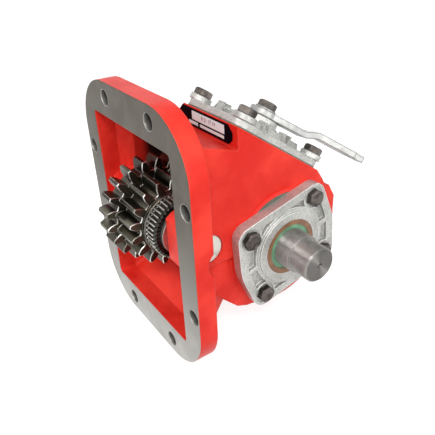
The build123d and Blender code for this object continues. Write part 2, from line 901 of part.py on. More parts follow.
# Ball bearings
for side, race_start, outer_diameter, bore_diameter, race_width in (
    ("front", front_bearing_start, front_bearing_outer, front_bearing_bore,
     front_bearing_width),
    ("rear", rear_seat_end, rear_bearing_outer, rear_bearing_bore, rear_bearing_width),
):
    race_outer = outer_diameter / 2
    race_inner = bore_diameter / 2
    section = race_outer - race_inner
    ball_pitch = (race_outer + race_inner) / 2
    ball_radius = section * ball_share
    outer_race = make_race(
        race_start, race_outer, race_outer - section * race_share, race_width, ball_pitch,
        ball_radius,
    )
    inner_race = make_race(
        race_start, race_inner + section * race_share, race_inner, race_width, ball_pitch,
        ball_radius,
    )
    balls = make_balls(race_start + race_width / 2, ball_pitch, ball_radius)
    save(outer_race, f"{side}_bearing_outer")
    save(inner_race, f"{side}_bearing_inner")
    save(balls, f"{side}_bearing_balls")

# Sliding output gear, in mesh with the pinion at rest
tooth_step = 360 / pinion_teeth
mesh_offset = (pinion_phase - output_tilt) % tooth_step
output_phase = output_tilt + 180 + 180 / output_teeth - mesh_offset * pinion_teeth / output_teeth
with BuildPart() as sliding_gear:
    with BuildSketch(Plane.YZ.offset(gear_far)):
        with Locations(output_spot):
            add_gear(output_tooth, output_teeth, output_phase)
    extrude(amount=output_gear_width)
    with BuildSketch(Plane.YZ.offset(output_gear_face)):
        with Locations(output_spot):
            Circle(gear_hub_radius)
    extrude(amount=gear_hub_length)
    with BuildSketch(Plane.YZ.offset(groove_far)):
        with Locations(output_spot):
            Circle(gear_hub_radius + 1.0)
            Circle(groove_radius, mode=Mode.SUBTRACT)
    extrude(amount=groove_width, mode=Mode.SUBTRACT)
    with BuildSketch(Plane.YZ.offset(gear_far)):
        with Locations(output_spot):
            add_spline(spline_fit)
    extrude(amount=hub_near - gear_far, mode=Mode.SUBTRACT)
save(sliding_gear.part, "sliding_gear")

# Shift rail and the plug that closes its hole
with BuildPart() as shift_rail:
    with BuildSketch(Plane.YZ.offset(rail_start)):
        with Locations(rail_spot):
            Circle(rail_diameter / 2)
    extrude(amount=rail_stop - rail_start)
    chamfer(shift_rail.edges().filter_by(GeomType.CIRCLE), 0.8)
save(shift_rail.part, "shift_rail")
with BuildPart() as rail_plug:
    with BuildSketch(Plane.YZ.offset(-body_half)):
        with Locations(rail_spot):
            Circle(rail_diameter / 2)
    extrude(amount=plug_thick)
save(rail_plug.part, "rail_plug")

# Shift fork: half ring in the gear's groove, arm, hub on the rail and two lugs for the crank pin
rest_turn = math.radians(90 + crank_swing / 2)
crank_pin_across = crank_radius * math.cos(rest_turn)
crank_pin_along = crank_radius * math.sin(rest_turn)
crank_pin_x = cover_middle.X + crank_pin_across
slot_width = crank_pin_diameter + 2 * slot_clearance
lug_height = -crank_foot + lug_clearance
with BuildPart() as shift_fork:
    with BuildSketch(across(groove_middle - fork_thick / 2, output_spot, rail_turn)):
        Circle(fork_outer)
        with Locations((fork_outer, 0)):
            Rectangle(24.0, fork_arm_width)
        Circle(fork_inner, mode=Mode.SUBTRACT)
        with Locations((-fork_outer, 0)):
            Rectangle(2 * fork_outer + 2 * fork_inner * math.cos(math.radians(fork_half_angle)),
                      3 * fork_outer, mode=Mode.SUBTRACT)
    extrude(amount=fork_thick)
    with BuildSketch(Plane.YZ.offset(fork_hub_far)):
        with Locations(rail_spot):
            Circle(fork_hub_radius)
    extrude(amount=fork_hub_length)
    with BuildSketch(on_cover(crank_pin_across, rail_past_middle, -lug_height)):
        with Locations((-slot_width / 2 - fork_lug_thick / 2, 0)):
            Rectangle(fork_lug_thick, fork_lug_wide)
        with Locations((slot_width / 2 + fork_lug_thick / 2, 0)):
            Rectangle(fork_lug_thick, fork_lug_wide)
    extrude(amount=lug_height - rail_below)
    with BuildSketch(Plane.YZ.offset(fork_hub_far)):
        with Locations(rail_spot):
            Circle(rail_diameter / 2 + running_fit)
    extrude(amount=fork_hub_length, mode=Mode.SUBTRACT)
save(shift_fork.part, "shift_fork")

# Shift crank: shaft through the cover, arm under it and a pin between the fork's lugs
with BuildPart() as shift_crank:
    with BuildSketch(on_cover(0, 0, crank_foot)):
        Circle(crank_hub_radius)
        with Locations((crank_pin_across, crank_pin_along)):
            Circle(crank_end_radius)
        make_hull()
    extrude(amount=crank_thick)
    with BuildSketch(on_cover(0, 0, -crank_below)):
        Circle(crank_hub_radius)
    extrude(amount=crank_below + gasket_thick - crank_collar_gap)
    with BuildSketch(on_cover(0, 0, 0)):
        Circle(crank_shaft_diameter / 2)
    extrude(amount=lever_foot - 0.1)
    with BuildSketch(on_cover(0, 0, lever_foot - 0.1, lever_angle)):
        Circle(lever_seat_diameter / 2)
        Rectangle(lever_seat_diameter, lever_seat_flats, mode=Mode.INTERSECT)
    extrude(amount=lever_thick - 0.1)
    with BuildSketch(on_cover(crank_pin_across, crank_pin_along, crank_foot)):
        Circle(crank_pin_diameter / 2)
    extrude(amount=crank_pin_foot - crank_foot)
    with BuildSketch(on_cover(0, 0, lever_top)):
        Circle(tapped_radius)
    extrude(amount=-lever_screw_length, mode=Mode.SUBTRACT)
    with BuildSketch(on_cover(0, 0, ring_height - ring_section / 2 - 0.1)):
        Circle(crank_shaft_diameter / 2 + 1.0)
        Circle(crank_shaft_diameter / 2 - ring_groove, mode=Mode.SUBTRACT)
    extrude(amount=ring_section + 0.2, mode=Mode.SUBTRACT)
save(shift_crank.part, "shift_crank")

crank_ring_radius = crank_shaft_diameter / 2 - ring_groove + ring_section / 2 + 0.02
save(make_bead(on_cover(0, 0, ring_height), crank_ring_radius, ring_section / 2, ring_sides),
     "crank_ring")

# Shift cover with its gasket
with BuildPart() as shift_cover_gasket:
    with BuildSketch(on_cover(0, 0, 0)):
        RectangleRounded(cover_width, cover_length, cover_corner)
        RectangleRounded(tower_opening_width, tower_opening_length, 2.0, mode=Mode.SUBTRACT)
        with GridLocations(cover_bolt_across, cover_bolt_apart, 2, 2):
            Circle(clearance_hole / 2, mode=Mode.SUBTRACT)
    extrude(amount=gasket_thick)
save(shift_cover_gasket.part, "shift_cover_gasket")

with BuildPart() as shift_cover:
    with BuildSketch(on_cover(0, 0, gasket_thick)):
        RectangleRounded(cover_width, cover_length, cover_corner)
    extrude(amount=cover_thick)
    with BuildSketch(on_cover(0, 0, gasket_thick + cover_thick)):
        RectangleRounded(cover_width - 2 * cover_dome_inset, cover_length - 2 * cover_dome_inset,
                         cover_corner)
    extrude(amount=cover_dome_height, taper=cover_dome_taper)
    with BuildSketch(on_cover(0, 0, gasket_thick + cover_thick)):
        with Locations(*cover_lug_places):
            Rectangle(cover_lug, cover_lug)
            Rectangle(cover_lug, cover_lug - 2 * cover_lug_wall, mode=Mode.SUBTRACT)
    extrude(amount=cover_lug_height)
    with BuildSketch(on_cover(0, 0, gasket_thick + cover_thick)):
        with GridLocations(cover_bolt_across, cover_bolt_apart, 2, 2):
            Circle(cover_pad_radius)
    extrude(amount=cover_pad_height)
    with BuildSketch(on_cover(0, 0, gasket_thick)):
        Circle(cover_hub_radius)
    extrude(amount=cover_hub_top - gasket_thick)
    with BuildSketch(on_cover(0, 0, gasket_thick)):
        Circle(crank_shaft_diameter / 2 + running_fit)
    extrude(amount=cover_hub_top, mode=Mode.SUBTRACT)
    with BuildSketch(on_cover(0, 0, gasket_thick)):
        with GridLocations(cover_bolt_across, cover_bolt_apart, 2, 2):
            Circle(clearance_hole / 2)
    extrude(amount=cover_hub_top, mode=Mode.SUBTRACT)
save(shift_cover.part, "shift_cover")

with BuildPart() as cover_screws:
    for cover_row, cover_grip in ((-1, short_screw_grip), (1, screw_grip)):
        for cover_side, screw_turn in ((-1, 20.0), (1, 45.0)):
            seat = on_cover(
                cover_side * cover_bolt_across / 2, cover_row * cover_bolt_apart / 2,
                cover_screw_seat, screw_turn,
            )
            add(make_screw(seat, cover_screw_seat + cover_grip))
save(cover_screws.part, "cover_screws")

# Lever with its washer and screw
lever_plane = on_cover(0, 0, 0, lever_angle)
lever_side = Plane(
    origin=lever_plane.origin, x_dir=lever_plane.x_dir,
    z_dir=lever_plane.x_dir.cross(lever_plane.z_dir),
)
step_end = lever_step_start + lever_step_run
with BuildPart() as shift_lever:
    with BuildSketch(lever_side):
        Polygon(
            (-lever_wide, lever_foot),
            (lever_step_start + 1.0, lever_foot),
            (step_end + 1.0, lever_foot + lever_step),
            (lever_length, lever_foot + lever_step),
            (lever_length, lever_top + lever_step),
            (step_end, lever_top + lever_step),
            (lever_step_start, lever_top),
            (-lever_wide, lever_top),
            align=None,
        )
    extrude(amount=lever_wide, both=True)
    with BuildSketch(lever_plane):
        Circle(lever_wide / 2 + 1.5)
        with Locations((lever_length / 2 - lever_tip_length, 0)):
            Rectangle(lever_length - lever_tip_length, lever_wide)
        with Locations((lever_length - lever_tip_length, 0)):
            Rectangle(2 * lever_tip_length, lever_tip_wide)
        with Locations((lever_length - lever_hole_from_tip, 0)):
            Circle(lever_hole / 2, mode=Mode.SUBTRACT)
        with Locations((-lever_wide, 0)):
            Rectangle(lever_wide * 0.8, lever_wide * 2, mode=Mode.SUBTRACT)
    extrude(amount=lever_top + 2 * lever_step, mode=Mode.INTERSECT)
    with BuildSketch(lever_plane):
        Circle(lever_seat_diameter / 2 + running_fit)
        Rectangle(lever_seat_diameter * 2, lever_seat_flats + 2 * running_fit,
                  mode=Mode.INTERSECT)
    extrude(amount=lever_top, mode=Mode.SUBTRACT)
save(shift_lever.part, "shift_lever")
with BuildPart() as lever_washer:
    with BuildSketch(on_cover(0, 0, lever_top)):
        Circle(lever_washer_radius)
        Circle(clearance_hole / 2, mode=Mode.SUBTRACT)
    extrude(amount=lever_washer_thick)
save(lever_washer.part, "lever_washer")
lever_screw_seat = on_cover(0, 0, lever_top + lever_washer_thick, 50.0)
save(make_screw(lever_screw_seat, lever_screw_length), "lever_screw")

# Bearing cover, gasket and screws
pilot_outer = front_bearing_outer / 2 - pilot_fit
with BuildPart() as bearing_gasket:
    with BuildSketch(across_seal_cover(near_face)):
        add_seal_cover_outline()
        Circle(seal_cover_seat_round)
        Circle(front_bearing_outer / 2 + 0.5, mode=Mode.SUBTRACT)
        with GridLocations(seal_cover_bolt_across, seal_cover_bolt_apart, 2, 2):
            Circle(clearance_hole / 2, mode=Mode.SUBTRACT)
    extrude(amount=gasket_thick)
save(bearing_gasket.part, "bearing_gasket")

with BuildPart() as bearing_cover:
    with BuildSketch(across_seal_cover(seal_cover_seat)):
        add_seal_cover_outline()
    extrude(amount=seal_cover_plate)
    with BuildSketch(across_seal_cover(seal_cover_seat)):
        Circle(seal_cover_boss)
    extrude(amount=seal_cover_boss_height, taper=seal_cover_boss_taper)
    with BuildSketch(across_seal_cover(seal_cover_seat)):
        Circle(pilot_outer)
    extrude(amount=-gasket_thick - bearing_recess)
    # Cast pockets between the border, the ears and the boss
    with BuildSketch(across_seal_cover(seal_cover_seat + seal_cover_plate)):
        add_seal_cover_outline(seal_cover_border)
        Circle(seal_cover_web, mode=Mode.SUBTRACT)
        Rectangle(2 * seal_cover_body, seal_cover_rib, mode=Mode.SUBTRACT)
        with GridLocations(seal_cover_bolt_across, seal_cover_bolt_apart, 2, 2):
            Circle(seal_cover_spot_face + seal_cover_ear_wall, mode=Mode.SUBTRACT)
    extrude(amount=-seal_cover_pocket, mode=Mode.SUBTRACT)
    with BuildSketch(across_seal_cover(seal_cover_screw_seat)):
        with GridLocations(seal_cover_bolt_across, seal_cover_bolt_apart, 2, 2):
            Circle(seal_cover_spot_face)
    extrude(amount=seal_cover_boss_height, mode=Mode.SUBTRACT)
    # Bore for the shaft, the seal and the screws
    with BuildSketch(across_seal_cover(front_seat_end)):
        Circle(pilot_outer - pilot_wall)
    extrude(amount=seal_start - 1.0 - front_seat_end, mode=Mode.SUBTRACT)
    with BuildSketch(across_seal_cover(seal_start - 1.0)):
        Circle(seal_outer - 3.0)
    extrude(amount=1.0, mode=Mode.SUBTRACT)
    with BuildSketch(across_seal_cover(seal_start)):
        Circle(seal_outer + seal_fit)
    extrude(amount=seal_bore_depth, mode=Mode.SUBTRACT)
    with BuildSketch(across_seal_cover(seal_cover_seat)):
        with GridLocations(seal_cover_bolt_across, seal_cover_bolt_apart, 2, 2):
            Circle(clearance_hole / 2)
    extrude(amount=seal_cover_boss_height, mode=Mode.SUBTRACT)
save(bearing_cover.part, "bearing_cover")
seal_cover_corners = ((1, 1), (-1, 1), (-1, -1), (1, -1))
with BuildPart() as bearing_screws:
    for (corner_side, corner_row), screw_turn in zip(seal_cover_corners, screw_turns):
        corner = Vector(corner_side * seal_cover_bolt_across / 2,
                        corner_row * seal_cover_bolt_apart / 2, 0)
        place = across_seal_cover(seal_cover_screw_seat).from_local_coords(corner)
        seat = across(seal_cover_screw_seat, (place.Y, place.Z), screw_turn)
        add(make_screw(seat, seal_cover_screw_seat - near_face + screw_grip))
save(bearing_screws.part, "bearing_screws")

# Oil seal
with BuildPart() as seal_case:
    with BuildSketch(Plane.YZ.offset(seal_start)):
        with Locations(output_spot):
            Circle(seal_outer)
            Circle(seal_outer - seal_case_wall, mode=Mode.SUBTRACT)
    extrude(amount=seal_end - seal_start)
    with BuildSketch(Plane.YZ.offset(seal_end - seal_case_front)):
        with Locations(output_spot):
            Circle(seal_outer)
            Circle(seal_outer - seal_case_lip, mode=Mode.SUBTRACT)
    extrude(amount=seal_case_front)
save(seal_case.part, "seal_case")
lip_inner = journal + seal_lip_fit
lip_outer = lip_inner + seal_lip_wall
lip_end = seal_end - seal_lip_front
lip_start = lip_end - seal_lip_length
with BuildPart() as seal_lip:
    with BuildSketch(Plane.YZ.offset(lip_start)):
        with Locations(output_spot):
            Circle(lip_outer)
    extrude(amount=seal_lip_length)
    with BuildSketch(Plane.YZ.offset(seal_end - seal_case_front)):
        with Locations(output_spot):
            Circle(seal_outer - seal_case_lip)
    extrude(amount=seal_case_front - seal_lip_front)
    with BuildSketch(Plane.YZ.offset(lip_start)):
        with Locations(output_spot):
            Circle(lip_inner)
    extrude(amount=seal_lip_length, mode=Mode.SUBTRACT)
save(seal_lip.part, "seal_lip")
spring_plane = across(lip_start + 2 * seal_spring, output_spot)
save(make_bead(spring_plane, lip_outer + seal_spring, seal_spring, ring_sides), "seal_spring")

# Rear cap, gasket and screws
rear_pilot = rear_bearing_outer / 2 - pilot_fit
with BuildPart() as cap_gasket:
    with BuildSketch(Plane.YZ.offset(far_face)):
        with Locations(output_spot):
            Circle(cap_radius)
            Circle(rear_bearing_outer / 2 + 0.5, mode=Mode.SUBTRACT)
        with Locations(*cap_bolts()):
            Circle(clearance_hole / 2, mode=Mode.SUBTRACT)
    extrude(amount=-gasket_thick)
save(cap_gasket.part, "cap_gasket")
with BuildPart() as rear_cap:
    with BuildSketch(Plane.YZ.offset(cap_seat)):
        with Locations(output_spot):
            Circle(cap_radius)
    extrude(amount=-cap_plate)
    with BuildSketch(Plane.YZ.offset(cap_seat - cap_plate)):
        with Locations(output_spot):
            Circle(cap_dome_radius)
    extrude(amount=-cap_dome_height, taper=cover_dome_taper)
    with BuildSketch(Plane.YZ.offset(cap_seat)):
        with Locations(output_spot):
            Circle(rear_pilot)
    extrude(amount=gasket_thick + bearing_recess)
    with BuildSketch(Plane.YZ.offset(rear_seat_end)):
        with Locations(output_spot):
            Circle(cap_hollow)
    extrude(amount=-cap_hollow_depth, mode=Mode.SUBTRACT)
    with BuildSketch(Plane.YZ.offset(cap_seat)):
        with Locations(*cap_bolts()):
            Circle(clearance_hole / 2)
    extrude(amount=-cap_plate, mode=Mode.SUBTRACT)
save(rear_cap.part, "rear_cap")
with BuildPart() as cap_screws:
    for place in cap_bolts():
        seat = Plane(origin=(cap_seat - cap_plate, place[0], place[1]), x_dir=(0, 1, 0),
                     z_dir=(-1, 0, 0))
        add(make_screw(seat, cap_plate + gasket_thick + screw_grip))
save(cap_screws.part, "cap_screws")

# Name plate on the tower's upright wall
with BuildPart() as name_plate:
    with BuildSketch(Plane.XZ.offset(-cover_edge_back)):
        Polygon(
            (plate_left, plate_top - 5.0),
            (plate_left + 4.5, plate_top),
            (plate_right - 5.0, plate_top),
            (plate_right, plate_top - 5.0),
            (plate_right, plate_foot + 4.0),
            (plate_right - 4.0, plate_foot),
            (plate_left + 8.0, plate_foot),
            align=None,
        )
    extrude(amount=plate_thick)
save(name_plate.part, "name_plate")
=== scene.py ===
import math

import bmesh
import bpy
from bpy.props import FloatProperty, FloatVectorProperty, IntProperty, PointerProperty
from mathutils import Matrix, Vector


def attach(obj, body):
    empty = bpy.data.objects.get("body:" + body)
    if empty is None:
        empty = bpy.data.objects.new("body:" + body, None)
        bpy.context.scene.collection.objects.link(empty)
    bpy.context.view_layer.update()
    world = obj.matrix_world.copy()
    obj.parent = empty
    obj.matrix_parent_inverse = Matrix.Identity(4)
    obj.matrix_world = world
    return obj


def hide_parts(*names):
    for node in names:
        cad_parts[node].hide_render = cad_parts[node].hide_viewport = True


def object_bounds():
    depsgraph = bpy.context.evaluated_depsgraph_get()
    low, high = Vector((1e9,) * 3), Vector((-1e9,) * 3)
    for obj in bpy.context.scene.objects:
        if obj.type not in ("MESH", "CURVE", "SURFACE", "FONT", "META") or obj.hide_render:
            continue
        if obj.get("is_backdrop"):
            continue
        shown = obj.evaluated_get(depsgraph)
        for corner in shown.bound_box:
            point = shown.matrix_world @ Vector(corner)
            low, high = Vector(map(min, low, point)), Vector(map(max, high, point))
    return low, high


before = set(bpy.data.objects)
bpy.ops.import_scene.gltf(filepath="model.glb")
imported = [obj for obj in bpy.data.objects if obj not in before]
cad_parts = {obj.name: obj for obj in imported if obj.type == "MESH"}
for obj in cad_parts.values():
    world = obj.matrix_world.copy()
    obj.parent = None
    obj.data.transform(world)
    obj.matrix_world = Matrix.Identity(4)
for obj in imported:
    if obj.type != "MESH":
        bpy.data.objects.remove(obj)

bl_info = {
    "name": "Power Take Off Unit",
    "version": (1, 0, 0),
    "blender": (4, 5, 0),
    "location": "View3D > Sidebar > Power Take Off",
    "description": "Builds the looks of a truck power take off unit over its CAD frame",
    "category": "Object",
}

MM = 0.001
IDLER = Vector((0.0, 23.5, 0.0)) * MM
SHAFT_LINE = Vector((0.0, 23.5 + 72.0 * math.cos(math.radians(-15.46)),
                     72.0 * math.sin(math.radians(-15.46)))) * MM
SLOPE = math.radians(35.3)
SLOPE_DOWN = Vector((0.0, math.cos(SLOPE), -math.sin(SLOPE)))
SLOPE_OUT = Vector((0.0, math.sin(SLOPE), math.cos(SLOPE)))
COVER_MIDDLE = (Vector((29.5, 51.3, 88.0)) + SLOPE_DOWN * 47.5) * MM
SHAFT_TIP = 108.2 * MM
X_WAY = Vector((1.0, 0.0, 0.0))
Y_WAY = Vector((0.0, 1.0, 0.0))
Z_WAY = Vector((0.0, 0.0, 1.0))

# Teeth and screw heads, with tooth depth and gap as shares of the module
PRESSURE_ANGLE = math.radians(20.0)
DEDENDUM = 1.25
BACKLASH = 0.02
FLANK_STEPS = 6
CORE_SIDES = 96
SCREW_SIDES = 72
SCREW_FACE = 0.4 * MM

# Places that the finishes, the painted shade and the painted reflection follow
SIDE_HOLE = (75.0 * MM, 44.45 * MM)
END_HOLE = (34.9 * MM, 95.25 * MM)
HOLE_REACH = 6.6 * MM
# Depths over which painted shade darkens the bolt hole walls
HOLE_DEPTHS = (0.2 * MM, 5.0 * MM)
BARE_DEPTH = 0.05 * MM
# Gear chamber box, and the depths over which painted shade darkens the paint inside it
CHAMBER = ((-56.0 * MM, 56.0 * MM), (18.0 * MM, 64.0 * MM), (4.0 * MM, 54.0 * MM))
CHAMBER_SHADE = (33.0 * MM, 43.0 * MM)
# Heights over which a painted floor reflection lightens the machined face
IRON_REFLECTION_HEIGHTS = (50.0 * MM, -140.0 * MM)
GASKET_RIM = (43.2 * MM, 43.8 * MM)

# Colours of small pieces, shades that vary a finish, and painted highlights, painted shade and painted
# reflections
WHITE = (1.0, 1.0, 1.0, 1.0)
PLAIN_STEEL = (0.50, 0.49, 0.46)
PIN_END_STEEL = (0.62, 0.61, 0.55)
BRONZE = (0.52, 0.42, 0.24)
LIGHT_RED = (0.89, 0.054, 0.034)
# Lighter red painted on the edges as a highlight
EDGE_RED_HIGHLIGHT = (0.95, 0.13, 0.075)
CHAMBER_PAINTED_SHADE = (0.016, 0.012, 0.012)
# Light grey painted on the lower mounting face as a floor reflection
IRON_FLOOR_REFLECTION = (0.50, 0.49, 0.47)
IRON_CLOUD = (0.20, 0.19, 0.165)
HOLE_MOUTH = (0.40, 0.39, 0.36)
HOLE_SHADE = (0.085, 0.080, 0.070)
OIL_FILM = (0.105, 0.096, 0.070)
GEAR_EDGE_HIGHLIGHT = (0.70, 0.69, 0.65)
GEAR_BEVEL_HIGHLIGHT = (0.74, 0.73, 0.69)
COLLAR_ROOT_SHADE = (0.030, 0.032, 0.028)
COLLAR_TIP_HIGHLIGHT = (0.50, 0.49, 0.45)
# Near white painted on cast edges as a highlight
CAST_RIM_HIGHLIGHT = (0.96, 0.96, 0.94)
# Dark grey painted on the shift cover's edges as shade
LINED_RIM_SHADE = (0.20, 0.195, 0.17)
CAST_SPECK = (0.22, 0.215, 0.19)
CAST_SCRATCH = (0.86, 0.86, 0.85)
SCREW_WEAR = (0.42, 0.40, 0.37)
# Dark grey painted on the lever's edges as shade
LEVER_EDGE_SHADE = (0.10, 0.095, 0.085)
# Plate field colours, tinted cyan to paint out red light bounced from the housing
CYAN_AGAINST_BOUNCE = (0.70, 1.0, 1.0)
CYAN_AGAINST_BOUNCE_DULL = (0.68, 0.96, 0.98)
CYAN_AGAINST_BOUNCE_BRIGHT = (0.78, 1.00, 1.00)
INK = (0.02, 0.02, 0.05)
ENAMEL = (0.003, 0.003, 0.006)

# Sockets that both geometry groups have
GEOMETRY = ("Geometry", "Geometry")
MATERIAL = ("Material", "Material")

# Nodes of plain steel
PLAIN_PIECES = (
    "roll_pin", "thrust_washer_front", "thrust_washer_rear", "rail_plug",
    "front_bearing_outer", "rear_bearing_outer", "front_bearing_inner",
    "rear_bearing_inner", "front_bearing_balls", "rear_bearing_balls",
    "snap_ring_inner", "snap_ring_front", "snap_ring_rear", "needle_row_front",
    "needle_row_rear", "needle_spacer", "shift_crank", "seal_spring",
)

# Seats of the screws, with the turn of each hex in degrees
COVER_SCREWS = ((-1, 20.0), (1, 45.0))
COVER_SCREW_SPREAD = 8.0
LEVER_SCREW_TURN = 50.0
BEARING_SCREWS = ((1, 1, 25.0), (-1, 1, 50.0), (-1, -1, 10.0), (1, -1, 40.0))
COVER_SCREW_ACROSS = 27.5 * MM
COVER_SCREW_ALONG = 39.5 * MM
COVER_SEAT = 10.0 * MM
LEVER_SEAT = 24.1 * MM
BEARING_SCREW_REACH = (32.3 * MM, 28.8 * MM)
BEARING_TURN = 13.9
BEARING_SEAT = 72.6 * MM
CAP_SCREW_RADIUS = 37.5 * MM
CAP_SEAT = 70.8 * MM
SCREW_LENGTH = 12.0 * MM

# Name plate: its front, and its silver fields as left, right, foot and top
PLATE_FRONT = 50.7 * MM
FIELD_PROUD = 0.12 * MM
FIELDS = ((7.0, 49.0, 78.3, 85.0), (2.5, 14.8, 74.5, 77.0), (17.6, 48.5, 74.6, 76.9))
FIGURES = "8 21 17 19"
FIGURE_HEIGHT = 4.2 * MM
FIGURES_MIDDLE = (29.0 * MM, 80.6 * MM)

# Studio: each lamp as name, place, target, size and power
MIDDLE = (0.01, 0.05, 0.0)
SHAFT_FRONT = (0.10, 0.093, -0.02)
LAMPS = (
    ("key_box", (0.36, -0.72, 0.80), MIDDLE, (0.7, 0.25), 3.9),
    ("glint_box", (0.63, -0.33, 0.71), SHAFT_FRONT, (0.10, 0.10), 2.6),
    ("side_box", (1.1, 0.15, 0.30), MIDDLE, (0.7, 0.9), 5.7),
    ("front_box", (0.10, -1.05, 0.10), MIDDLE, (0.7, 0.8), 4.1),
    ("top_box", (-0.75, -0.10, 0.72), MIDDLE, (0.22, 0.16), 1.2),
    ("rear_box", (-0.85, 0.80, -0.05), MIDDLE, (0.9, 0.35), 1.8),
)
FLOOR_REACH = 3.0
FLOOR_GAP = 0.5 * MM
FLOOR_COLOUR = (0.45, 0.45, 0.45)
FLOOR_GLOW = 0.80
SKY_GLOW = (0.40, 0.52)
CAMERA_LENS = 42.144
CAMERA_PLACE = Vector((0.3254, -0.1397, 0.2083))
CAMERA_RIGHT = Vector((0.5681, 0.8221, -0.0389))
CAMERA_UP = Vector((-0.3984, 0.3149, 0.8611))
CAMERA_BACK = Vector((0.7208, -0.4740, 0.5066))


class FinishSettings(bpy.types.PropertyGroup):
    """Colours of the unit's finishes."""

    paint: FloatVectorProperty(
        name="Paint", description="Colour of the painted castings", subtype="COLOR",
        default=(0.84, 0.028, 0.018), min=0.0, max=1.0)
    machined: FloatVectorProperty(
        name="Machined iron", description="Colour of the bare machined faces", subtype="COLOR",
        default=(0.100, 0.087, 0.069), min=0.0, max=1.0)
    gear: FloatVectorProperty(
        name="Gear steel", description="Colour of the hardened gears", subtype="COLOR",
        default=(0.070, 0.065, 0.052), min=0.0, max=1.0)
    shaft: FloatVectorProperty(
        name="Ground steel", description="Colour of the ground shaft", subtype="COLOR",
        default=(0.38, 0.365, 0.345), min=0.0, max=1.0)
    aluminium: FloatVectorProperty(
        name="Aluminium", description="Colour of the cast covers", subtype="COLOR",
        default=(0.56, 0.56, 0.53), min=0.0, max=1.0)
    zinc: FloatVectorProperty(
        name="Zinc", description="Colour of the plated lever", subtype="COLOR",
        default=(0.42, 0.42, 0.41), min=0.0, max=1.0)
    screw: FloatVectorProperty(
        name="Screw", description="Colour of the blackened screws", subtype="COLOR",
        default=(0.060, 0.052, 0.046), min=0.0, max=1.0)
    gasket: FloatVectorProperty(
        name="Gasket", description="Colour of the gaskets", subtype="COLOR",
        default=(0.115, 0.135, 0.105), min=0.0, max=1.0)
    seal_case: FloatVectorProperty(
        name="Seal ring", description="Colour of the seal's outer ring", subtype="COLOR",
        default=(0.24, 0.115, 0.055), min=0.0, max=1.0)
    seal_lip: FloatVectorProperty(
        name="Seal lip", description="Colour of the seal's lip", subtype="COLOR",
        default=(0.13, 0.31, 0.175), min=0.0, max=1.0)
    grain: FloatProperty(
        name="Cast grain", description="Size of the grain left by the sand mould", unit="LENGTH",
        default=0.0022, min=0.0005, max=0.01)


class GearSettings(bpy.types.PropertyGroup):
    """Sizes of the idler cluster."""

    drive_teeth: IntProperty(
        name="Input teeth", description="Teeth of the large input gear", default=21, min=8)
    pinion_teeth: IntProperty(
        name="Pinion teeth", description="Teeth of the small gear", default=17, min=8)
    collar_teeth: IntProperty(
        name="Collar teeth", description="Fine teeth around the collar", default=44, min=8)
    gear_module: FloatProperty(
        name="Module", description="Tooth module of the gears", unit="LENGTH",
        default=0.004, min=0.001)
    edge: FloatProperty(
        name="Tooth edge", description="Width of the bevel round each tooth", unit="LENGTH",
        default=0.0005, min=0.0001)
    drive_phase: FloatProperty(
        name="Input tooth angle", description="Angle of the input gear's first tooth",
        unit="ROTATION", default=math.radians(82.5))
    pinion_phase: FloatProperty(
        name="Pinion tooth angle", description="Angle of the pinion's first tooth",
        unit="ROTATION", default=math.radians(104.8))
    pinion_face: FloatProperty(
        name="Pinion face", description="Place of the pinion's near face along the shafts",
        unit="LENGTH", default=0.012)
    pinion_width: FloatProperty(
        name="Pinion width", description="Width of the pinion", unit="LENGTH", default=0.025)
    drive_width: FloatProperty(
        name="Input gear width", description="Width of the input gear", unit="LENGTH", default=0.016)
    hub_radius: FloatProperty(
        name="Hub radius", description="Radius of the hub at the far end", unit="LENGTH",
        default=0.0202)
    bore: FloatProperty(
        name="Bore radius", description="Radius of the bore round the needles", unit="LENGTH",
        default=0.01505)
    shoulder_radius: FloatProperty(
        name="Shoulder radius", description="Radius of the ring beside the pinion",
        unit="LENGTH", default=0.0276)
    shoulder_width: FloatProperty(
        name="Shoulder width", description="Width of the ring beside the pinion",
        unit="LENGTH", default=0.004)
    collar_radius: FloatProperty(
        name="Collar radius", description="Radius over the collar's fine teeth", unit="LENGTH",
        default=0.0261)
    collar_width: FloatProperty(
        name="Collar width", description="Width of the collar", unit="LENGTH", default=0.0115)
    collar_depth: FloatProperty(
        name="Collar tooth depth", description="Depth of the collar's fine teeth",
        unit="LENGTH", default=0.0015)


class ScrewSettings(bpy.types.PropertyGroup):
    """Sizes of the hex screws."""

    flats: FloatProperty(
        name="Across flats", description="Width of the hex head", unit="LENGTH",
        default=0.013, min=0.004)
    head: FloatProperty(
        name="Head height", description="Height of the hex head", unit="LENGTH",
        default=0.0053, min=0.001)
    shank: FloatProperty(
        name="Shank", description="Diameter of the screw's shank", unit="LENGTH",
        default=0.008, min=0.002)


def settings():
    return bpy.context.scene.take_off


def fill(tree, node, inputs):
    """Fill a node's inputs from sockets or plain values."""
    for key, value in inputs.items():
        if isinstance(value, bpy.types.NodeSocket):
            tree.links.new(value, node.inputs[key])
        else:
            node.inputs[key].default_value = value


def add_node(tree, kind, inputs=None, **values):
    """Add a node, set its values and fill its inputs."""
    made = tree.nodes.new(kind)
    for key, value in values.items():
        setattr(made, key, value)
    fill(tree, made, inputs or {})
    return made


def math_node(tree, operation, first, second=0.5):
    return add_node(tree, "ShaderNodeMath", {0: first, 1: second}, operation=operation).outputs[0]


def times(tree, first, second):
    return math_node(tree, "MULTIPLY", first, second)


def mix_colour(tree, share, first, second):
    return add_node(tree, "ShaderNodeMix", {0: share, 6: first, 7: second}, data_type="RGBA").outputs[2]


def mix_value(tree, share, first, second):
    return add_node(tree, "ShaderNodeMix", {0: share, 2: first, 3: second},
                    data_type="FLOAT").outputs[0]


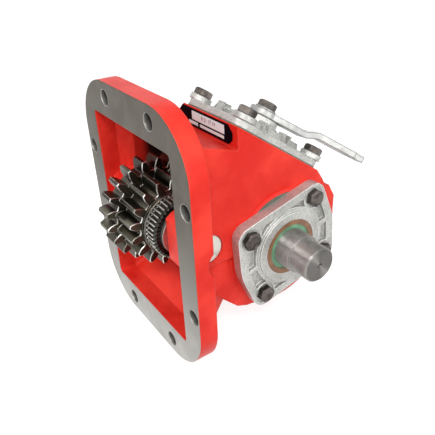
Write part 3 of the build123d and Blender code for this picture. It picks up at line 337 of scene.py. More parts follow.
def step_mask(tree, value, low, high):
    """Give 0 below low, 1 above high and a smooth ramp between."""
    made = add_node(tree, "ShaderNodeMapRange",
                    {"Value": value, "From Min": low, "From Max": high},
                    interpolation_type="SMOOTHSTEP")
    return made.outputs["Result"]


def two_tone(tree, value, low, high, first, second):
    """Mix two colours by a value that rises smoothly from low to high."""
    return mix_colour(tree, step_mask(tree, value, low, high), first, second)


def between(tree, value, low, high):
    """Give 1 where a value lies between two limits and 0 elsewhere."""
    above = math_node(tree, "GREATER_THAN", value, low)
    below = math_node(tree, "LESS_THAN", value, high)
    return times(tree, above, below)


def object_place(tree):
    return add_node(tree, "ShaderNodeTexCoord").outputs["Object"]


def noise(tree, vector, scale, detail=2.0, distortion=0.0):
    return add_node(tree, "ShaderNodeTexNoise",
                    {"Vector": vector, "Scale": scale, "Detail": detail,
                     "Distortion": distortion}).outputs["Fac"]


def colour(value, share=1.0):
    """Give a colour times a share, as the four values of a colour socket."""
    return (*(min(1.0, part * share) for part in value[:3]), 1.0)


def lay(tree, base, mask, share, shade):
    """Lay a shade over a base colour, by a share of a mask."""
    return mix_colour(tree, times(tree, mask, share), base, colour(shade))


def new_group(name, kind, inputs, outputs):
    """Make a node group with named sockets and give its tree and its input sockets."""
    tree = bpy.data.node_groups.new(name, kind)
    for socket_name, socket, *default in inputs:
        made = tree.interface.new_socket(socket_name, in_out="INPUT", socket_type="NodeSocket" + socket)
        if default:
            made.default_value = default[0]
    for socket_name, socket in outputs:
        tree.interface.new_socket(socket_name, in_out="OUTPUT", socket_type="NodeSocket" + socket)
    return tree, tree.nodes.new("NodeGroupInput").outputs


def group_tree(name):
    """Give a node group, built on its first use."""
    return bpy.data.node_groups.get(name) or GROUPS[name](name)


def place_group(tree, name, inputs):
    """Place a shader group in a material and give its outputs in their order."""
    made = add_node(tree, "ShaderNodeGroup", inputs, node_tree=group_tree(name))
    return tuple(made.outputs)


def smears(tree, scale):
    return place_group(tree, "Handling Marks", {"Scale": scale})[0]


def rounding(tree, radius):
    return place_group(tree, "Edge Mask", {"Radius": radius})


def cast_grain(tree, scale, fine):
    return place_group(tree, "Cast Grain", {"Scale": scale, "Fine": fine})


def cast_grain_group(name):
    """Sand cast surface: soft lumps, fine grain and a slow change of shade."""
    tree, given = new_group(
        name, "ShaderNodeTree", (("Scale", "Float", 450.0), ("Fine", "Float", 0.4)),
        (("Height", "Float"), ("Mottle", "Float")))
    place = object_place(tree)
    lumps = noise(tree, place, given["Scale"], 3.0)
    fine = noise(tree, place, times(tree, given["Scale"], 3.7))
    slow = noise(tree, place, times(tree, given["Scale"], 0.06), 4.0)
    weighted = times(tree, fine, given["Fine"])
    add_node(tree, "NodeGroupOutput",
             {"Height": math_node(tree, "ADD", lumps, weighted), "Mottle": slow})
    return tree


def edge_mask_group(name):
    """Mask of the convex and concave edges within a radius, and the rounded normal."""
    tree, given = new_group(
        name, "ShaderNodeTree", (("Radius", "Float", 0.6 * MM),),
        (("Edge", "Float"), ("Normal", "Vector")))
    rounded = add_node(tree, "ShaderNodeBevel", {"Radius": given["Radius"]}, samples=6).outputs[0]
    flat = add_node(tree, "ShaderNodeNewGeometry").outputs["Normal"]
    meet = add_node(tree, "ShaderNodeVectorMath", {0: rounded, 1: flat},
                    operation="DOT_PRODUCT").outputs["Value"]
    apart = math_node(tree, "SUBTRACT", 1.0, meet)
    add_node(tree, "NodeGroupOutput", {"Edge": step_mask(tree, apart, 0.01, 0.12), "Normal": rounded})
    return tree


def handling_group(name):
    """Smears and small scratches from handling."""
    tree, given = new_group(
        name, "ShaderNodeTree", (("Scale", "Float", 60.0),), (("Smear", "Float"), ("Scratch", "Float")))
    place = object_place(tree)
    stretch = add_node(tree, "ShaderNodeMapping",
                       {"Vector": place, "Rotation": (0.4, 0.9, 0.3),
                        "Scale": (1.0, 9.0, 9.0)}).outputs["Vector"]
    lines = noise(tree, stretch, times(tree, given["Scale"], 6.0))
    add_node(tree, "NodeGroupOutput",
             {"Smear": noise(tree, place, given["Scale"], 5.0, 0.6),
              "Scratch": step_mask(tree, lines, 0.66, 0.74)})
    return tree


def tool_lines_group(name):
    """Fine lines across one coordinate, as left by turning or milling."""
    tree, given = new_group(
        name, "ShaderNodeTree", (("Position", "Float", 0.0), ("Pitch", "Float", 2500.0)),
        (("Height", "Float"),))
    place = object_place(tree)
    along = times(tree, given["Position"], given["Pitch"])
    lines = add_node(tree, "ShaderNodeTexNoise", {"W": along, "Scale": 1.0, "Detail": 2.0},
                     noise_dimensions="1D").outputs[0]
    add_node(tree, "NodeGroupOutput", {"Height": times(tree, lines, noise(tree, place, 90.0))})
    return tree


def start_material(name, base, roughness, metallic=0.0):
    """Start a material and give its tree and its Principled shader."""
    made = bpy.data.materials.new(name)
    made.use_nodes = True
    made.diffuse_color = colour(base)
    tree = made.node_tree
    shader = tree.nodes["Principled BSDF"]
    fill(tree, shader, {"Base Color": colour(base), "Roughness": roughness, "Metallic": metallic})
    return made, tree, shader


def give_finish(tree, shader, base, smear, low, high):
    """Link a base colour, and a roughness that follows the smears from low to high."""
    fill(tree, shader, {"Base Color": base, "Roughness": mix_value(tree, smear, low, high)})


def bump(tree, shader, height, strength, distance, normal=None):
    inputs = {"Height": height, "Strength": strength, "Distance": distance}
    if normal is not None:
        inputs["Normal"] = normal
    made = add_node(tree, "ShaderNodeBump", inputs)
    fill(tree, shader, {"Normal": made.outputs["Normal"]})


def object_axes(tree):
    """Give the object coordinates as three separate sockets."""
    place = object_place(tree)
    return tuple(add_node(tree, "ShaderNodeSeparateXYZ", {0: place}).outputs)


def distance_from(tree, first, second, middle):
    """Give the distance of two coordinates from a middle point."""
    across = math_node(tree, "SUBTRACT", first, middle[0])
    up = math_node(tree, "SUBTRACT", second, middle[1])
    squares = math_node(tree, "ADD", times(tree, across, across), times(tree, up, up))
    return math_node(tree, "SQRT", squares)


def painted_colour(tree, paint, mottle, edge, axes):
    """Mottled red, with a painted highlight on its edges and painted shade deep in the gear chamber."""
    red = two_tone(tree, mottle, 0.35, 0.7, colour(paint, 0.84), colour(LIGHT_RED))
    # Painted highlight: the paint is made lighter on its edges
    red = lay(tree, red, edge, 0.35, EDGE_RED_HIGHLIGHT)
    # Painted shade: the paint deep in the gear chamber is made near black
    chamber_shade_mask = step_mask(tree, axes[1], *CHAMBER_SHADE)
    for place, limits in zip(axes, CHAMBER):
        chamber_shade_mask = times(tree, chamber_shade_mask, between(tree, place, *limits))
    return lay(tree, red, chamber_shade_mask, 0.97, CHAMBER_PAINTED_SHADE)


def bare_iron(tree, machined, smear, axes):
    """Mask of the mounting face and bolt holes, with the colour of their machined iron, a painted floor
    reflection that lightens the face towards the bottom, and painted shade deeper in the holes.
    """
    x, y, z = axes
    side_x = math_node(tree, "ABSOLUTE", x)
    side_z = math_node(tree, "ABSOLUTE", z)
    near_side = distance_from(tree, side_x, side_z, SIDE_HOLE)
    near_end = distance_from(tree, side_x, side_z, END_HOLE)
    in_hole = math_node(tree, "LESS_THAN", math_node(tree, "MINIMUM", near_side, near_end), HOLE_REACH)
    on_face = math_node(tree, "LESS_THAN", y, BARE_DEPTH)
    # Painted reflection: the machined face grows lighter towards the bottom, as if it mirrored the
    # floor
    iron = two_tone(tree, z, *IRON_REFLECTION_HEIGHTS, colour(machined), colour(IRON_FLOOR_REFLECTION))
    iron = lay(tree, iron, step_mask(tree, smear, 0.3, 0.7), 0.3, IRON_CLOUD)
    # Painted shade: the bolt hole walls darken with depth
    wall = two_tone(tree, y, *HOLE_DEPTHS, colour(HOLE_MOUTH), colour(HOLE_SHADE))
    iron = mix_colour(tree, in_hole, iron, wall)
    return math_node(tree, "MAXIMUM", in_hole, on_face), iron


def paint_material():
    """Red paint over cast iron, left bare on the mounting face and in the bolt holes."""
    finish = settings().finish
    made, tree, shader = start_material("Red Paint", finish.paint, 0.33)
    grain, mottle = cast_grain(tree, 1.0 / finish.grain, 0.35)
    edge, normal = rounding(tree, 1.6 * MM)
    smear = smears(tree, 45.0)
    axes = object_axes(tree)
    red = painted_colour(tree, finish.paint, mottle, edge, axes)
    bare, iron = bare_iron(tree, finish.machined, smear, axes)
    rough = mix_value(tree, smear, 0.25, 0.42)
    fill(tree, shader, {
        "Base Color": mix_colour(tree, bare, red, iron), "Metallic": times(tree, bare, 0.75),
        "Roughness": mix_value(tree, bare, rough, 0.46), "Specular IOR Level": 0.14})
    lines = place_group(tree, "Tool Lines", {"Position": axes[0], "Pitch": 1800.0})[0]
    height = mix_value(tree, bare, grain, times(tree, lines, 0.12))
    bump(tree, shader, height, 0.55, 0.6 * MM, normal)
    return made


def gear_material(name="Gear Steel", tips=0.0, bevels=()):
    """Hardened gear steel with an oil film and painted highlights on its edges, bevels and collar tips,
    with painted shade over the collar.
    """
    finish = settings().finish
    made, tree, shader = start_material(name, finish.gear, 0.36, 1.0)
    height, mottle = cast_grain(tree, 500.0, 0.5)
    edge, normal = rounding(tree, 0.5 * MM)
    smear = smears(tree, 80.0)
    base = two_tone(tree, mottle, 0.35, 0.65, colour(finish.gear, 0.72), colour(OIL_FILM))
    # Painted highlight: the steel is made light along its edges
    base = lay(tree, base, edge, 0.95, GEAR_EDGE_HIGHLIGHT)
    x, y, z = object_axes(tree)
    # Painted highlight on the tooth bevels, broken up by the smears
    for low, high in bevels:
        rim = between(tree, x, low + 0.02 * MM, high - 0.02 * MM)
        base = lay(tree, base, rim, step_mask(tree, smear, 0.34, 0.58), GEAR_BEVEL_HIGHLIGHT)
    if tips:
        from_axis = distance_from(tree, y, z, IDLER.yz)
        collar = math_node(tree, "GREATER_THAN", x, settings().gears.pinion_face + 4.5 * MM)
        high = step_mask(tree, from_axis, tips - 0.7 * MM, tips - 0.2 * MM)
        # Painted shade over the collar, then a painted highlight on its tooth tips
        base = lay(tree, base, collar, 0.85, COLLAR_ROOT_SHADE)
        base = lay(tree, base, collar, high, COLLAR_TIP_HIGHLIGHT)
    give_finish(tree, shader, base, smear, 0.26, 0.48)
    bump(tree, shader, height, 0.18, 0.2 * MM, normal)
    return made


def steel_material(name, base, roughness, depth=0.10, end=1.0):
    """Turned steel with fine tool lines, and painted shade on the shaft's end face as a share of its
    colour.
    """
    made, tree, shader = start_material(name, base, roughness, 1.0)
    smear = smears(tree, 70.0)
    edge, normal = rounding(tree, 0.4 * MM)
    x = object_axes(tree)[0]
    lines = place_group(tree, "Tool Lines", {"Position": x, "Pitch": 2600.0})[0]
    tint = two_tone(tree, smear, 0.4, 0.7, colour(base), colour(base, 0.7))
    tint = mix_colour(tree, edge, tint, colour(base, 1.35))
    if end < 1.0:
        # Painted shade: the shaft's end face is made darker
        end_shade_mask = math_node(tree, "GREATER_THAN", x, SHAFT_TIP - 0.2 * MM)
        tint = mix_colour(tree, end_shade_mask, tint, colour(base, end))
    give_finish(tree, shader, tint, smear, roughness * 0.75, roughness * 1.35)
    bump(tree, shader, lines, depth, 0.1 * MM, normal)
    return made


def ground_material():
    """Ground shaft steel, with its shine drawn out round the shaft."""
    made = steel_material("Ground Steel", settings().finish.shaft, 0.44, depth=0.12, end=0.46)
    tree = made.node_tree
    round_axis = add_node(tree, "ShaderNodeTangent", direction_type="RADIAL", axis="X")
    fill(tree, tree.nodes["Principled BSDF"], {
        "Anisotropic": 0.95, "Anisotropic Rotation": 0.25, "Tangent": round_axis.outputs[0]})
    return made


def aluminium_material(name="Cast Aluminium", rim=CAST_RIM_HIGHLIGHT):
    """Die cast aluminium with dark specks, light scratches and edges painted in the rim colour: a
    painted highlight on the bearing cover and rear cap, painted shade on the shift cover.
    """
    base = settings().finish.aluminium
    made, tree, shader = start_material(name, base, 0.42, 0.40)
    height, mottle = cast_grain(tree, 620.0, 0.7)
    edge, normal = rounding(tree, 1.0 * MM)
    smear, scratch = place_group(tree, "Handling Marks", {"Scale": 55.0})
    tint = two_tone(tree, mottle, 0.35, 0.68, colour(base), colour(base, 0.72))
    tint = lay(tree, tint, step_mask(tree, height, 0.86, 1.00), 0.55, CAST_SPECK)
    # Edges painted in the rim colour, which is light as a painted highlight and dark as painted shade
    # on the shift cover
    tint = lay(tree, tint, edge, 0.85, rim)
    tint = lay(tree, tint, scratch, 0.4, CAST_SCRATCH)
    give_finish(tree, shader, tint, smear, 0.26, 0.48)
    bump(tree, shader, height, 0.50, 0.3 * MM, normal)
    return made


def screw_material():
    """Phosphated screw steel, rubbed bright on its corners."""
    base = settings().finish.screw
    made, tree, shader = start_material("Black Screw Steel", base, 0.42, 0.9)
    edge, normal = rounding(tree, 0.4 * MM)
    smear = smears(tree, 160.0)
    tint = two_tone(tree, smear, 0.35, 0.7, colour(base, 0.8), colour(base, 2.6))
    tint = lay(tree, tint, edge, 0.5, SCREW_WEAR)
    give_finish(tree, shader, tint, smear, 0.30, 0.55)
    bump(tree, shader, smear, 0.10, 0.2 * MM, normal)
    return made


def lever_material():
    """Plated lever steel, with painted shade along its edges."""
    base = settings().finish.zinc
    made, tree, shader = start_material("Bright Zinc", base, 0.34, 0.55)
    edge, normal = rounding(tree, 1.6 * MM)
    smear = smears(tree, 90.0)
    tint = two_tone(tree, smear, 0.35, 0.7, colour(base), colour(base, 0.72))
    # Painted shade: the lever is made dark along its edges
    tint = lay(tree, tint, edge, 0.85, LEVER_EDGE_SHADE)
    give_finish(tree, shader, tint, smear, 0.28, 0.48)
    bump(tree, shader, smear, 0.12, 0.2 * MM, normal)
    return made


def soft_material(name, base, roughness):
    """Rubber, gasket paper or enamel with a faint mottle."""
    made, tree, shader = start_material(name, base, roughness)
    height = cast_grain(tree, 900.0, 0.6)[0]
    smear = smears(tree, 120.0)
    tint = two_tone(tree, smear, 0.3, 0.7, colour(base, 0.75), colour(base, 1.25))
    give_finish(tree, shader, tint, smear, roughness * 0.8, roughness * 1.2)
    bump(tree, shader, height, 0.15, 0.2 * MM)
    return made


def gasket_material():
    """Gasket paper under the bearing cover, with red paint run over its outer rim."""
    finish = settings().finish
    made = soft_material("Painted Gasket", finish.gasket, 0.6)
    tree = made.node_tree
    base = tree.nodes["Principled BSDF"].inputs["Base Color"]
    outward = distance_from(tree, *object_axes(tree)[1:], SHAFT_LINE.yz)
    painted = step_mask(tree, outward, *GASKET_RIM)
    paper = base.links[0].from_socket
    tree.links.new(mix_colour(tree, painted, paper, colour(finish.paint)), base)
    return made


def enamel_material():
    """Black enamel of the name plate, with next to no shine."""
    made = soft_material("Black Enamel", ENAMEL, 0.5)
    made.node_tree.nodes["Principled BSDF"].inputs["Specular IOR Level"].default_value = 0.02
    return made


def silver_material():
    """Bare silver fields of the name plate, tinted cyan so as to paint out the red light that the
    housing bounces onto them.
    """
    made, tree, shader = start_material("Silver Field", CYAN_AGAINST_BOUNCE, 0.55)
    smear = smears(tree, 90.0)
    tint = two_tone(tree, smear, 0.3, 0.7, colour(CYAN_AGAINST_BOUNCE_DULL), colour(CYAN_AGAINST_BOUNCE_BRIGHT))
    fill(tree, shader, {"Base Color": tint})
    return made


def seen_rays(tree):
    """Give 1 on rays that show the backdrop: from the camera, off a gloss or through glass."""
    path = add_node(tree, "ShaderNodeLightPath").outputs
    seen = math_node(tree, "MAXIMUM", path["Is Camera Ray"], path["Is Glossy Ray"])
    return math_node(tree, "MAXIMUM", seen, path["Is Transmission Ray"])


def floor_material():
    """Pale floor that shows near white on seen rays, with the unit's soft shadow on it."""
    made, tree, shader = start_material("Pale Floor", FLOOR_COLOUR, 0.9)
    fill(tree, shader, {
        "Specular IOR Level": 0.0, "Emission Color": WHITE,
        "Emission Strength": times(tree, seen_rays(tree), FLOOR_GLOW)})
    return made


def new_object(name, data):
    made = bpy.data.objects.new(name, data)
    bpy.context.scene.collection.objects.link(made)
    return made


def plain_mesh(name, points, faces):
    mesh = bpy.data.meshes.new(name)
    mesh.from_pydata(points, [], faces)
    mesh.validate()
    return mesh


def ring_faces(rows, wide, closed):
    """Give the faces between rows of points that each go once round."""
    faces = []
    for row in range(rows if closed else rows - 1):
        after = (row + 1) % rows
        for step in range(wide):
            ahead = (step + 1) % wide
            faces.append((row * wide + step, row * wide + ahead,
                          after * wide + ahead, after * wide + step))
    return faces


def involute(angle):
    return math.tan(angle) - angle


def gear_outline(teeth, module):
    """Give one tooth with half a gap on each side, as pairs of radius and angle."""
    pitch = module * teeth / 2
    base = pitch * math.cos(PRESSURE_ANGLE)
    tip = pitch + module
    root = pitch - DEDENDUM * module
    low = max(base, root + 0.3 * module)
    half_base = math.pi / 2 / teeth - BACKLASH * module / pitch + involute(PRESSURE_ANGLE)
    edge = math.pi / teeth
    side = [(root, -edge), (root, -half_base - 0.45 * (edge - half_base)),
            (root + 0.12 * module, -half_base - 0.12 * (edge - half_base))]
    for step in range(FLANK_STEPS + 1):
        radius = low + (tip - low) * step / FLANK_STEPS
        side.append((radius, involute(math.acos(base / radius)) - half_base))
    side.append((tip, side[-1][1] * 0.4))
    return side + [(radius, -angle) for radius, angle in reversed(side)]


def fine_outline(teeth, tip, depth):
    """Give one pointed serration with half a gap on each side."""
    edge = math.pi / teeth
    side = [(tip - depth, -edge), (tip - depth, -edge * 0.75), (tip, -edge * 0.22)]
    return side + [(radius, -angle) for radius, angle in reversed(side)]


def shrink(outline, width, floor):
    """Move an outline inwards by a width, to give the edge left by a bevel."""
    flat = [Vector((radius * math.cos(angle), radius * math.sin(angle))) for radius, angle in outline]
    last = len(flat) - 1
    moved = []
    for number, point in enumerate(flat):
        along = flat[min(number + 1, last)] - flat[max(number - 1, 0)]
        place = point + Vector((-along.y, along.x)).normalized() * width
        angle = math.atan2(place.y, place.x)
        if number in (0, last):
            angle = outline[number][1]
        moved.append((max(place.length, floor), angle))
    return moved


def tooth_mesh(name, outline, layers, inner, floor):
    """Make one sector of a gear from layers of place and inset, closed down to inner radius."""
    angles = [angle for radius, angle in outline]
    rows = [[(layers[0][0], inner, angle) for angle in angles]]
    for place, inset in layers:
        shape = shrink(outline, inset, floor) if inset else outline
        rows.append([(place, radius, angle) for radius, angle in shape])
    rows.append([(layers[-1][0], inner, angle) for angle in angles])
    points = [(x, radius * math.cos(angle), radius * math.sin(angle))
              for row in rows for x, radius, angle in row]
    wide = len(outline)
    faces = []
    for row in range(len(rows)):
        after = (row + 1) % len(rows)
        for number in range(wide - 1):
            start, ahead = row * wide + number, after * wide + number
            faces.append((start, ahead, ahead + 1, start + 1))
    return plain_mesh(name, points, faces)


def turned_mesh(name, profile, centre):
    """Turn a closed profile of place and radius pairs round a line along x through the centre."""
    points = []
    for place, radius in profile:
        for step in range(CORE_SIDES):
            angle = 2 * math.pi * step / CORE_SIDES
            points.append((place, centre.y + radius * math.cos(angle),
                           centre.z + radius * math.sin(angle)))
    return plain_mesh(name, points, ring_faces(len(profile), CORE_SIDES, True))


def screw_mesh(name):
    """Make a hex head with a bevelled top, a washer face and a shank, standing on z."""
    sizes = settings().screws
    half = sizes.flats / 2
    shank = sizes.shank / 2
    face = half * 0.96
    top = half * 0.93
    drop = math.tan(math.radians(30))
    columns = []
    for step in range(SCREW_SIDES):
        angle = 2 * math.pi * step / SCREW_SIDES
        wide = half / math.cos(math.fmod(angle, math.pi / 3) - math.pi / 6)
        column = ((shank, -SCREW_LENGTH), (shank, 0.0), (face, 0.0), (face, SCREW_FACE),
                  (wide, SCREW_FACE), (wide, sizes.head - (wide - top) * drop),
                  (top, sizes.head), (top * 0.82, sizes.head - 0.15 * MM))
        columns.append([(radius * math.cos(angle), radius * math.sin(angle), height)
                        for radius, height in column])
    points = [point for row in zip(*columns) for point in row]
    rows = len(columns[0])
    faces = ring_faces(rows, SCREW_SIDES, False)
    faces.append(tuple(reversed(range(SCREW_SIDES))))
    faces.append(tuple((rows - 1) * SCREW_SIDES + step for step in range(SCREW_SIDES)))
    return plain_mesh(name, points, faces)


def repeat_round_tree(name):
    """Node tree that repeats a mesh round a line along x and gives it a material."""
    tree, given = new_group(
        name, "GeometryNodeTree",
        (GEOMETRY, ("Count", "Int"), ("First Angle", "Float"), ("Centre", "Vector"), MATERIAL),
        (GEOMETRY,))
    points = add_node(tree, "GeometryNodePoints",
                      {"Count": given["Count"], "Position": given["Centre"]})
    index = add_node(tree, "GeometryNodeInputIndex").outputs[0]
    turn = math_node(tree, "DIVIDE", 2 * math.pi, given["Count"])
    turn = times(tree, turn, index)
    turn = math_node(tree, "ADD", turn, given["First Angle"])
    spin = add_node(tree, "ShaderNodeCombineXYZ", {0: turn}).outputs[0]
    copies = add_node(tree, "GeometryNodeInstanceOnPoints",
                      {"Points": points.outputs[0], "Instance": given["Geometry"],
                       "Rotation": spin})
    real = add_node(tree, "GeometryNodeRealizeInstances", {"Geometry": copies.outputs[0]})
    joined = add_node(tree, "GeometryNodeMergeByDistance",
                      {"Geometry": real.outputs[0], "Distance": 0.02 * MM})
    dressed = add_node(tree, "GeometryNodeSetMaterial",
                       {"Geometry": joined.outputs[0], "Material": given["Material"]})
    add_node(tree, "NodeGroupOutput", {"Geometry": dressed.outputs[0]})
    return tree


def place_each_tree(name):
    """Node tree that places a mesh at each point of another, turned as the point says."""
    tree, given = new_group(
        name, "GeometryNodeTree", (GEOMETRY, ("Seats", "Object"), MATERIAL), (GEOMETRY,))
    seats = add_node(tree, "GeometryNodeObjectInfo", {"Object": given["Seats"]})
    aim = add_node(tree, "GeometryNodeInputNamedAttribute", {"Name": "aim"}, data_type="QUATERNION")
    copies = add_node(tree, "GeometryNodeInstanceOnPoints",
                      {"Points": seats.outputs["Geometry"], "Instance": given["Geometry"],
                       "Rotation": aim.outputs["Attribute"]})
    real = add_node(tree, "GeometryNodeRealizeInstances", {"Geometry": copies.outputs[0]})
    dressed = add_node(tree, "GeometryNodeSetMaterial",
                       {"Geometry": real.outputs[0], "Material": given["Material"]})
    add_node(tree, "NodeGroupOutput", {"Geometry": dressed.outputs[0]})
    return tree


GROUPS = {
    "Cast Grain": cast_grain_group,
    "Edge Mask": edge_mask_group,
    "Handling Marks": handling_group,
    "Tool Lines": tool_lines_group,
    "Repeat Round": repeat_round_tree,
    "Place Each": place_each_tree,
}


def grow(name, mesh, group, values):
    """Run a node group on a mesh and give the finished mesh as a plain object."""
    tree = group_tree(group)
    source = new_object(name + "_source", mesh)
    modifier = source.modifiers.new("Repeat", "NODES")
    modifier.node_group = tree
    for item in tree.interface.items_tree:
        if item.in_out == "INPUT" and item.name in values:
            modifier[item.identifier] = values[item.name]
    bpy.context.view_layer.update()
    graph = bpy.context.evaluated_depsgraph_get()
    finished = bpy.data.meshes.new_from_object(source.evaluated_get(graph),
                                               preserve_all_data_layers=True, depsgraph=graph)
    source.modifiers.remove(modifier)
    bpy.data.objects.remove(source)
    bpy.data.meshes.remove(mesh)
    return new_object(name, finished)


def join(name, pieces, material, sharp):
    """Join finished pieces into one mesh with outward faces and sharp edges by angle."""
    whole = bmesh.new()
    for piece in pieces:
        whole.from_mesh(piece.data)
    bmesh.ops.recalc_face_normals(whole, faces=whole.faces)
    mesh = bpy.data.meshes.new(name)
    whole.to_mesh(mesh)
    whole.free()
    for piece in pieces:
        bpy.data.objects.remove(piece)
    mesh.materials.append(material)
    for face in mesh.polygons:
        face.material_index = 0
        face.use_smooth = True
    mesh.set_sharp_from_angle(angle=math.radians(sharp))
    return new_object(name, mesh)


def dress(names, made):
    """Give CAD nodes a material."""
    for name in names:
        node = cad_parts[name]
        node.data.materials.clear()
        node.data.materials.append(made)


def add_floor():
    """Add a wide floor just below the unit."""
    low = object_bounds()[0][2] - FLOOR_GAP
    corners = [(x * FLOOR_REACH, y * FLOOR_REACH, low)
               for x, y in ((-1, -1), (1, -1), (1, 1), (-1, 1))]
    floor = new_object("floor", plain_mesh("floor", corners, [(0, 1, 2, 3)]))
    floor.data.materials.append(floor_material())
    floor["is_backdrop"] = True


def add_sky(scene):
    """Light the scene from a pale sky that seen rays show as white."""
    world = bpy.data.worlds.new("Studio")
    scene.world = world
    world.use_nodes = True
    tree = world.node_tree
    tree.nodes.clear()
    place = add_node(tree, "ShaderNodeTexCoord").outputs["Generated"]
    height = add_node(tree, "ShaderNodeSeparateXYZ", {0: place}).outputs[2]
    glow = mix_value(tree, step_mask(tree, height, -0.1, 0.8), *SKY_GLOW)
    strength = mix_value(tree, seen_rays(tree), glow, 1.0)
    back = add_node(tree, "ShaderNodeBackground", {"Color": WHITE, "Strength": strength})
    add_node(tree, "ShaderNodeOutputWorld", {"Surface": back.outputs[0]})


def soft_box(name, place, target, size, power):
    """Add a soft box lamp that points at the target."""
    lamp = bpy.data.lights.new(name, "AREA")
    lamp.shape = "RECTANGLE"
    lamp.size, lamp.size_y = size
    lamp.energy = power
    made = new_object(name, lamp)
    made.location = place
    made.rotation_mode = "QUATERNION"
    made.rotation_quaternion = (Vector(target) - Vector(place)).to_track_quat("-Z", "Y")


def add_camera(scene):
    """Add the camera that was fitted to the eight bolt holes."""
    lens = bpy.data.cameras.new("camera")
    lens.sensor_width = 36.0
    lens.lens = CAMERA_LENS
    lens.clip_start = 0.01
    camera = new_object("camera", lens)
    turn = Matrix((CAMERA_RIGHT, CAMERA_UP, CAMERA_BACK)).transposed().to_4x4()
    camera.matrix_world = Matrix.Translation(CAMERA_PLACE) @ turn
    scene.camera = camera


class TAKEOFF_OT_stage(bpy.types.Operator):
    """Set the floor, the soft studio light and the camera"""

    bl_idname = "takeoff.stage"
    bl_label = "Stage"

    def execute(self, context):
        context.scene.view_settings.view_transform = "Standard"
        add_floor()
        add_sky(context.scene)
        for lamp in LAMPS:
            soft_box(*lamp)
        add_camera(context.scene)
        return {"FINISHED"}


class TAKEOFF_OT_housing(bpy.types.Operator):
    """Paint the housing casting"""

    bl_idname = "takeoff.housing"
    bl_label = "Housing"

    def execute(self, context):
        dress(["housing"], paint_material())
        return {"FINISHED"}


class TAKEOFF_OT_metals(bpy.types.Operator):
    """Finish the plain steel, aluminium and soft pieces"""

    bl_idname = "takeoff.metals"
    bl_label = "Metals and Seals"

    def execute(self, context):
        finish = settings().finish
        dress(["output_shaft", "shift_rail"], ground_material())
        dress(["idler_pin"], steel_material("Pin End Steel", PIN_END_STEEL, 0.5))
        dress(PLAIN_PIECES, steel_material("Plain Steel", PLAIN_STEEL, 0.35))
        dress(["sliding_gear"], gear_material())
        dress(["shift_fork"], steel_material("Fork Bronze", BRONZE, 0.4))
        dress(["bearing_cover", "rear_cap"], aluminium_material())
        # Shift cover with painted shade along its edges
        dress(["shift_cover"], aluminium_material("Edge Shaded Aluminium", LINED_RIM_SHADE))
        dress(["shift_lever", "lever_washer"], lever_material())
        dress(["shift_cover_gasket", "cap_gasket"], soft_material("Gasket Paper", finish.gasket, 0.7))
        dress(["bearing_gasket"], gasket_material())
        dress(["seal_case", "crank_ring"], soft_material("Seal Ring Rubber", finish.seal_case, 0.45))
        dress(["seal_lip"], soft_material("Seal Lip Rubber", finish.seal_lip, 0.4))
        dress(["name_plate"], enamel_material())
        return {"FINISHED"}


def cluster_places():
    """Give the places of the cluster's steps along x, from the input gear to the collar."""
    sizes = settings().gears
    near = sizes.pinion_face
    pinion_far = near - sizes.pinion_width
    drive_far = pinion_far - sizes.drive_width
    shoulder_near = near + sizes.shoulder_width
    return drive_far, pinion_far, near, shoulder_near, shoulder_near + sizes.collar_width


def spur_teeth(name, teeth, start, stop, phase, made):
    """Cut the bevelled teeth of one gear of the cluster."""
    sizes = settings().gears
    module = sizes.gear_module
    edge = sizes.edge
    root = module * teeth / 2 - DEDENDUM * module
    layers = ((start, edge), (start + edge, 0.0), (stop - edge, 0.0), (stop, edge))
    sector = tooth_mesh(name, gear_outline(teeth, module), layers, sizes.hub_radius, root - edge)
    return grow(name + "_teeth", sector, "Repeat Round", {
        "Count": teeth, "First Angle": phase, "Centre": IDLER, "Material": made})


def collar_teeth(start, stop, made):
    """Cut the fine pointed teeth of the collar."""
    sizes = settings().gears
    depth = sizes.collar_depth
    outline = fine_outline(sizes.collar_teeth, sizes.collar_radius, depth)
    layers = ((start, 0.0), (stop - 2.0 * MM, 0.0), (stop - 0.3 * MM, depth * 0.8), (stop, depth))
    sector = tooth_mesh("collar", outline, layers, sizes.bore + 2.0 * MM,
                        sizes.collar_radius - depth - 0.8 * MM)
    return grow("collar_teeth", sector, "Repeat Round", {
        "Count": sizes.collar_teeth, "First Angle": 0.0, "Centre": IDLER, "Material": made})


def cluster_core(made):
    """Turn the hub, shoulder and bore of the cluster."""
    sizes = settings().gears
    drive_far, pinion_far, near, shoulder_near, collar_near = cluster_places()
    edge = sizes.edge
    far = drive_far - 2.0 * MM
    sleeve = sizes.hub_radius + 2.0 * MM
    shoulder = sizes.shoulder_radius
    inside = sizes.collar_radius - sizes.collar_depth - 2.0 * MM
    profile = (
        (far, sizes.bore + edge), (far, sizes.hub_radius - edge),
        (far + edge, sizes.hub_radius), (drive_far + edge, sizes.hub_radius),
        (pinion_far, sleeve), (near - edge, sleeve),
        (near, shoulder - edge), (near + edge, shoulder),
        (shoulder_near - edge, shoulder), (shoulder_near, shoulder - edge),
        (shoulder_near, inside), (collar_near - 0.5 * MM, inside),
        (collar_near - 0.5 * MM, sizes.bore + edge), (collar_near - 1.0 * MM, sizes.bore),
        (far + edge, sizes.bore),
    )
    core = new_object("cluster_core", turned_mesh("cluster_core", profile, IDLER))
    core.data.materials.append(made)
    return core


